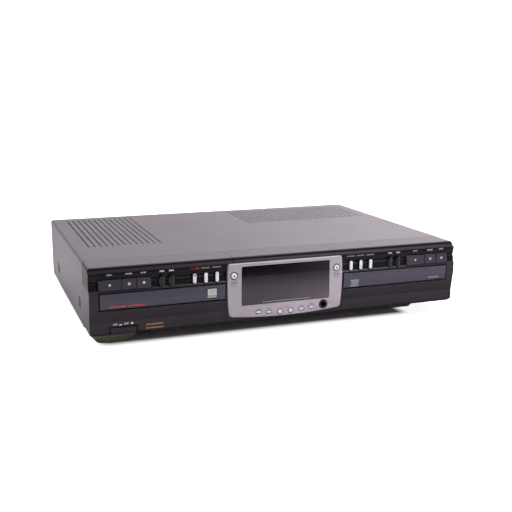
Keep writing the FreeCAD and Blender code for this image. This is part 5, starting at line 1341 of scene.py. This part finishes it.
@dataclass
class Studio:
    """White floor, soft lights and the world.

    Ramps are given as start, end, value at the start and value at the end.
    """

    floor_half: float = 4.0
    paper: tuple[float, float, float, float] = (0.86, 0.85, 0.86, 1)
    far_paper: tuple[float, float, float, float] = (0.02, 0.02, 0.02, 1)
    lift: float = 0.88
    gloss: float = 0.15
    table_edge: float = -380
    # Place of the painted shadow in front of the object, seen only by gloss.
    near: float = -215
    near_shadow_left: float = -225
    fade: float = 30
    far_right: Bar = (0.12, 0.26, 1.0, 0.35)
    # Box under the object without white lift: painted shadow.
    under: Bar = (-200, 165, -137, 140)
    edge: float = 6
    tint: Place = (1.0, 0.94, 1.0)
    fill: float = 0.45
    wall: Bar = (-0.05, 0.30, 0.72, 1.0)
    right_wall: Bar = (0.28, 0.56, 0.0, 1.2)
    front_wall: Bar = (0.25, 0.6, 0.03, 0.35)
    front_side: tuple[float, float] = (-0.30, -0.05)
    lamps: tuple[Lamp, ...] = (
        Lamp("top_light", place=(0.25, 0.35, 1.5), aim=(0, 0, 0), size=(1.8, 1.3), power=24),
        Lamp("side_light", place=(-1.6, 0.1, 0.9), aim=(0, 0, 0.05), size=(1.2, 0.8), power=1.2),
        Lamp("front_softbox", place=(0.64, -0.6, 1.4), aim=(0.1, -0.15, 0.05), size=(0.3, 0.3), power=11,
             glints=True))

    def floor(self) -> None:
        """Lay the floor: it catches the shadow and looks white to the camera, but in a box under the object
        its white lift is taken away, a painted shadow over the real shade there; gloss also sees a painted
        shadow on the floor just in front of the object.
        """
        mesh = bpy.data.meshes.new("floor")
        half = self.floor_half
        mesh.from_pydata([(-half, -half, 0), (half, -half, 0), (half, half, 0), (-half, half, 0)], [],
                         [(0, 1, 2, 3)])
        floor = add_object("floor", mesh)
        material = bpy.data.materials.new("floor_paper")
        sheet = NodeSheet(material)
        rays = sheet.node("ShaderNodeLightPath").outputs
        left, right, front, back = self.under
        # Painted shadow: no white lift in the box under the object.
        painted_shadow = sheet.work_out("MULTIPLY",
                                 sheet.step("X", left, self.edge), sheet.step("X", right, -self.edge),
                                 sheet.step("Y", front, self.edge), sheet.step("Y", back, -self.edge))
        mirrored = sheet.work_out("MULTIPLY", rays["Is Glossy Ray"], self.gloss)
        seen = sheet.work_out("MAXIMUM", rays["Is Camera Ray"], mirrored)
        lift = sheet.work_out("MULTIPLY", seen, sheet.span(painted_shadow, self.lift, 0.0))
        paper = sheet.node("ShaderNodeBsdfDiffuse")
        paper.inputs["Color"].default_value = self.paper
        glow = sheet.node("ShaderNodeEmission", Strength=lift)
        both = sheet.node("ShaderNodeAddShader")
        sheet.links.new(paper.outputs["BSDF"], both.inputs[0])
        sheet.links.new(glow.outputs["Emission"], both.inputs[1])
        # Painted shadow on the floor in front of the object, seen only in reflections.
        near = sheet.work_out("MULTIPLY", sheet.step("Y", self.near, self.fade),
                              sheet.step("X", self.near_shadow_left, self.edge))
        far = sheet.work_out("MULTIPLY", sheet.step("Y", self.table_edge, -self.fade),
                             sheet.ramp("X", *self.far_right))
        beyond = sheet.work_out("MULTIPLY", sheet.work_out("MAXIMUM", far, near), rays["Is Glossy Ray"])
        dark = sheet.node("ShaderNodeBsdfDiffuse")
        dark.inputs["Color"].default_value = self.far_paper
        mix = sheet.node("ShaderNodeMixShader", Fac=beyond)
        sheet.links.new(both.outputs["Shader"], mix.inputs[1])
        sheet.links.new(dark.outputs["BSDF"], mix.inputs[2])
        sheet.node("ShaderNodeOutputMaterial", Surface=mix.outputs["Shader"])
        mesh.materials.append(material)

    def world(self) -> None:
        """White for the camera, a pale room with a dark front for gloss, and a soft fill."""
        world = bpy.data.worlds.new("studio")
        bpy.context.scene.world = world
        sheet = NodeSheet(world, "Generated")
        rays = sheet.node("ShaderNodeLightPath").outputs
        wall = sheet.work_out("ADD", sheet.ramp("X", *self.wall), sheet.ramp("X", *self.right_wall))
        room = sheet.span(sheet.along("Y", *self.front_side), sheet.ramp("X", *self.front_wall), wall)
        inside = sheet.span(rays["Is Glossy Ray"], self.fill, room)
        seen = sheet.work_out("MAXIMUM", rays["Is Camera Ray"], rays["Is Transmission Ray"])
        background = sheet.node("ShaderNodeBackground", Strength=sheet.span(seen, inside, 1.0))
        tint = sheet.node("ShaderNodeMix")
        tint.data_type = "RGBA"
        tint.inputs[6].default_value = (*self.tint, 1)
        tint.inputs[7].default_value = (1, 1, 1, 1)
        sheet.links.new(seen, tint.inputs[0])
        sheet.links.new(tint.outputs[2], background.inputs["Color"])
        sheet.node("ShaderNodeOutputWorld", Surface=background.outputs["Background"])

    def build(self) -> None:
        """Set up the whole studio."""
        self.floor()
        self.world()
        for lamp in self.lamps:
            lamp.hang(self.tint)
        bpy.context.scene.view_settings.view_transform = "Standard"
        LOG.info("studio: floor, world and %d lights", len(self.lamps))


@dataclass
class Viewpoint:
    """Camera that stands where the photograph was taken from."""

    azimuth: float = -20.524
    elevation: float = 12.437
    roll: float = 0.263
    target: tuple[float, float, float] = (-45.544, -28.935, 95.166)
    lip_y: float = -153.6
    distance: float = 858.305
    focal_pixels: float = 816.42
    image_pixels: int = 512
    sensor: float = 36.0

    def build(self) -> None:
        """Create the camera and make it the scene's own."""
        data = bpy.data.cameras.new("camera")
        data.sensor_width = self.sensor
        data.lens = self.focal_pixels * self.sensor / self.image_pixels
        data.clip_start = 0.01
        azimuth, elevation, roll = map(math.radians, (self.azimuth, self.elevation, self.roll))
        level = math.cos(elevation)
        back = Vector((math.sin(azimuth) * level, -math.cos(azimuth) * level, math.sin(elevation)))
        sideways = (-back).cross(Vector((0, 0, 1))).normalized()
        upright = sideways.cross(-back)
        right = math.cos(roll) * sideways + math.sin(roll) * upright
        up = math.cos(roll) * upright - math.sin(roll) * sideways
        aim = Vector((self.target[0], self.target[1] + self.lip_y, self.target[2]))
        turn = Matrix((right, up, back)).transposed().to_4x4()
        camera = add_object("camera", data)
        camera.matrix_world = Matrix.Translation((aim + back * self.distance) * MM) @ turn
        bpy.context.scene.camera = camera
        LOG.info("camera: lens %.1f mm", data.lens)


def main() -> None:
    """Build the looks in order."""
    logging.basicConfig(level=logging.INFO, format="%(name)s: %(message)s")
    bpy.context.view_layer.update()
    finishes = Finishes()
    finishes.dress()
    for deck in Deck:
        DeckFront(finishes, deck).build()
    DrawerPrints(finishes).build()
    CentrePanel(finishes).build()
    RearCollars(finishes).build()
    Studio().build()
    Viewpoint().build()


if __name__ == "__main__":
    main()
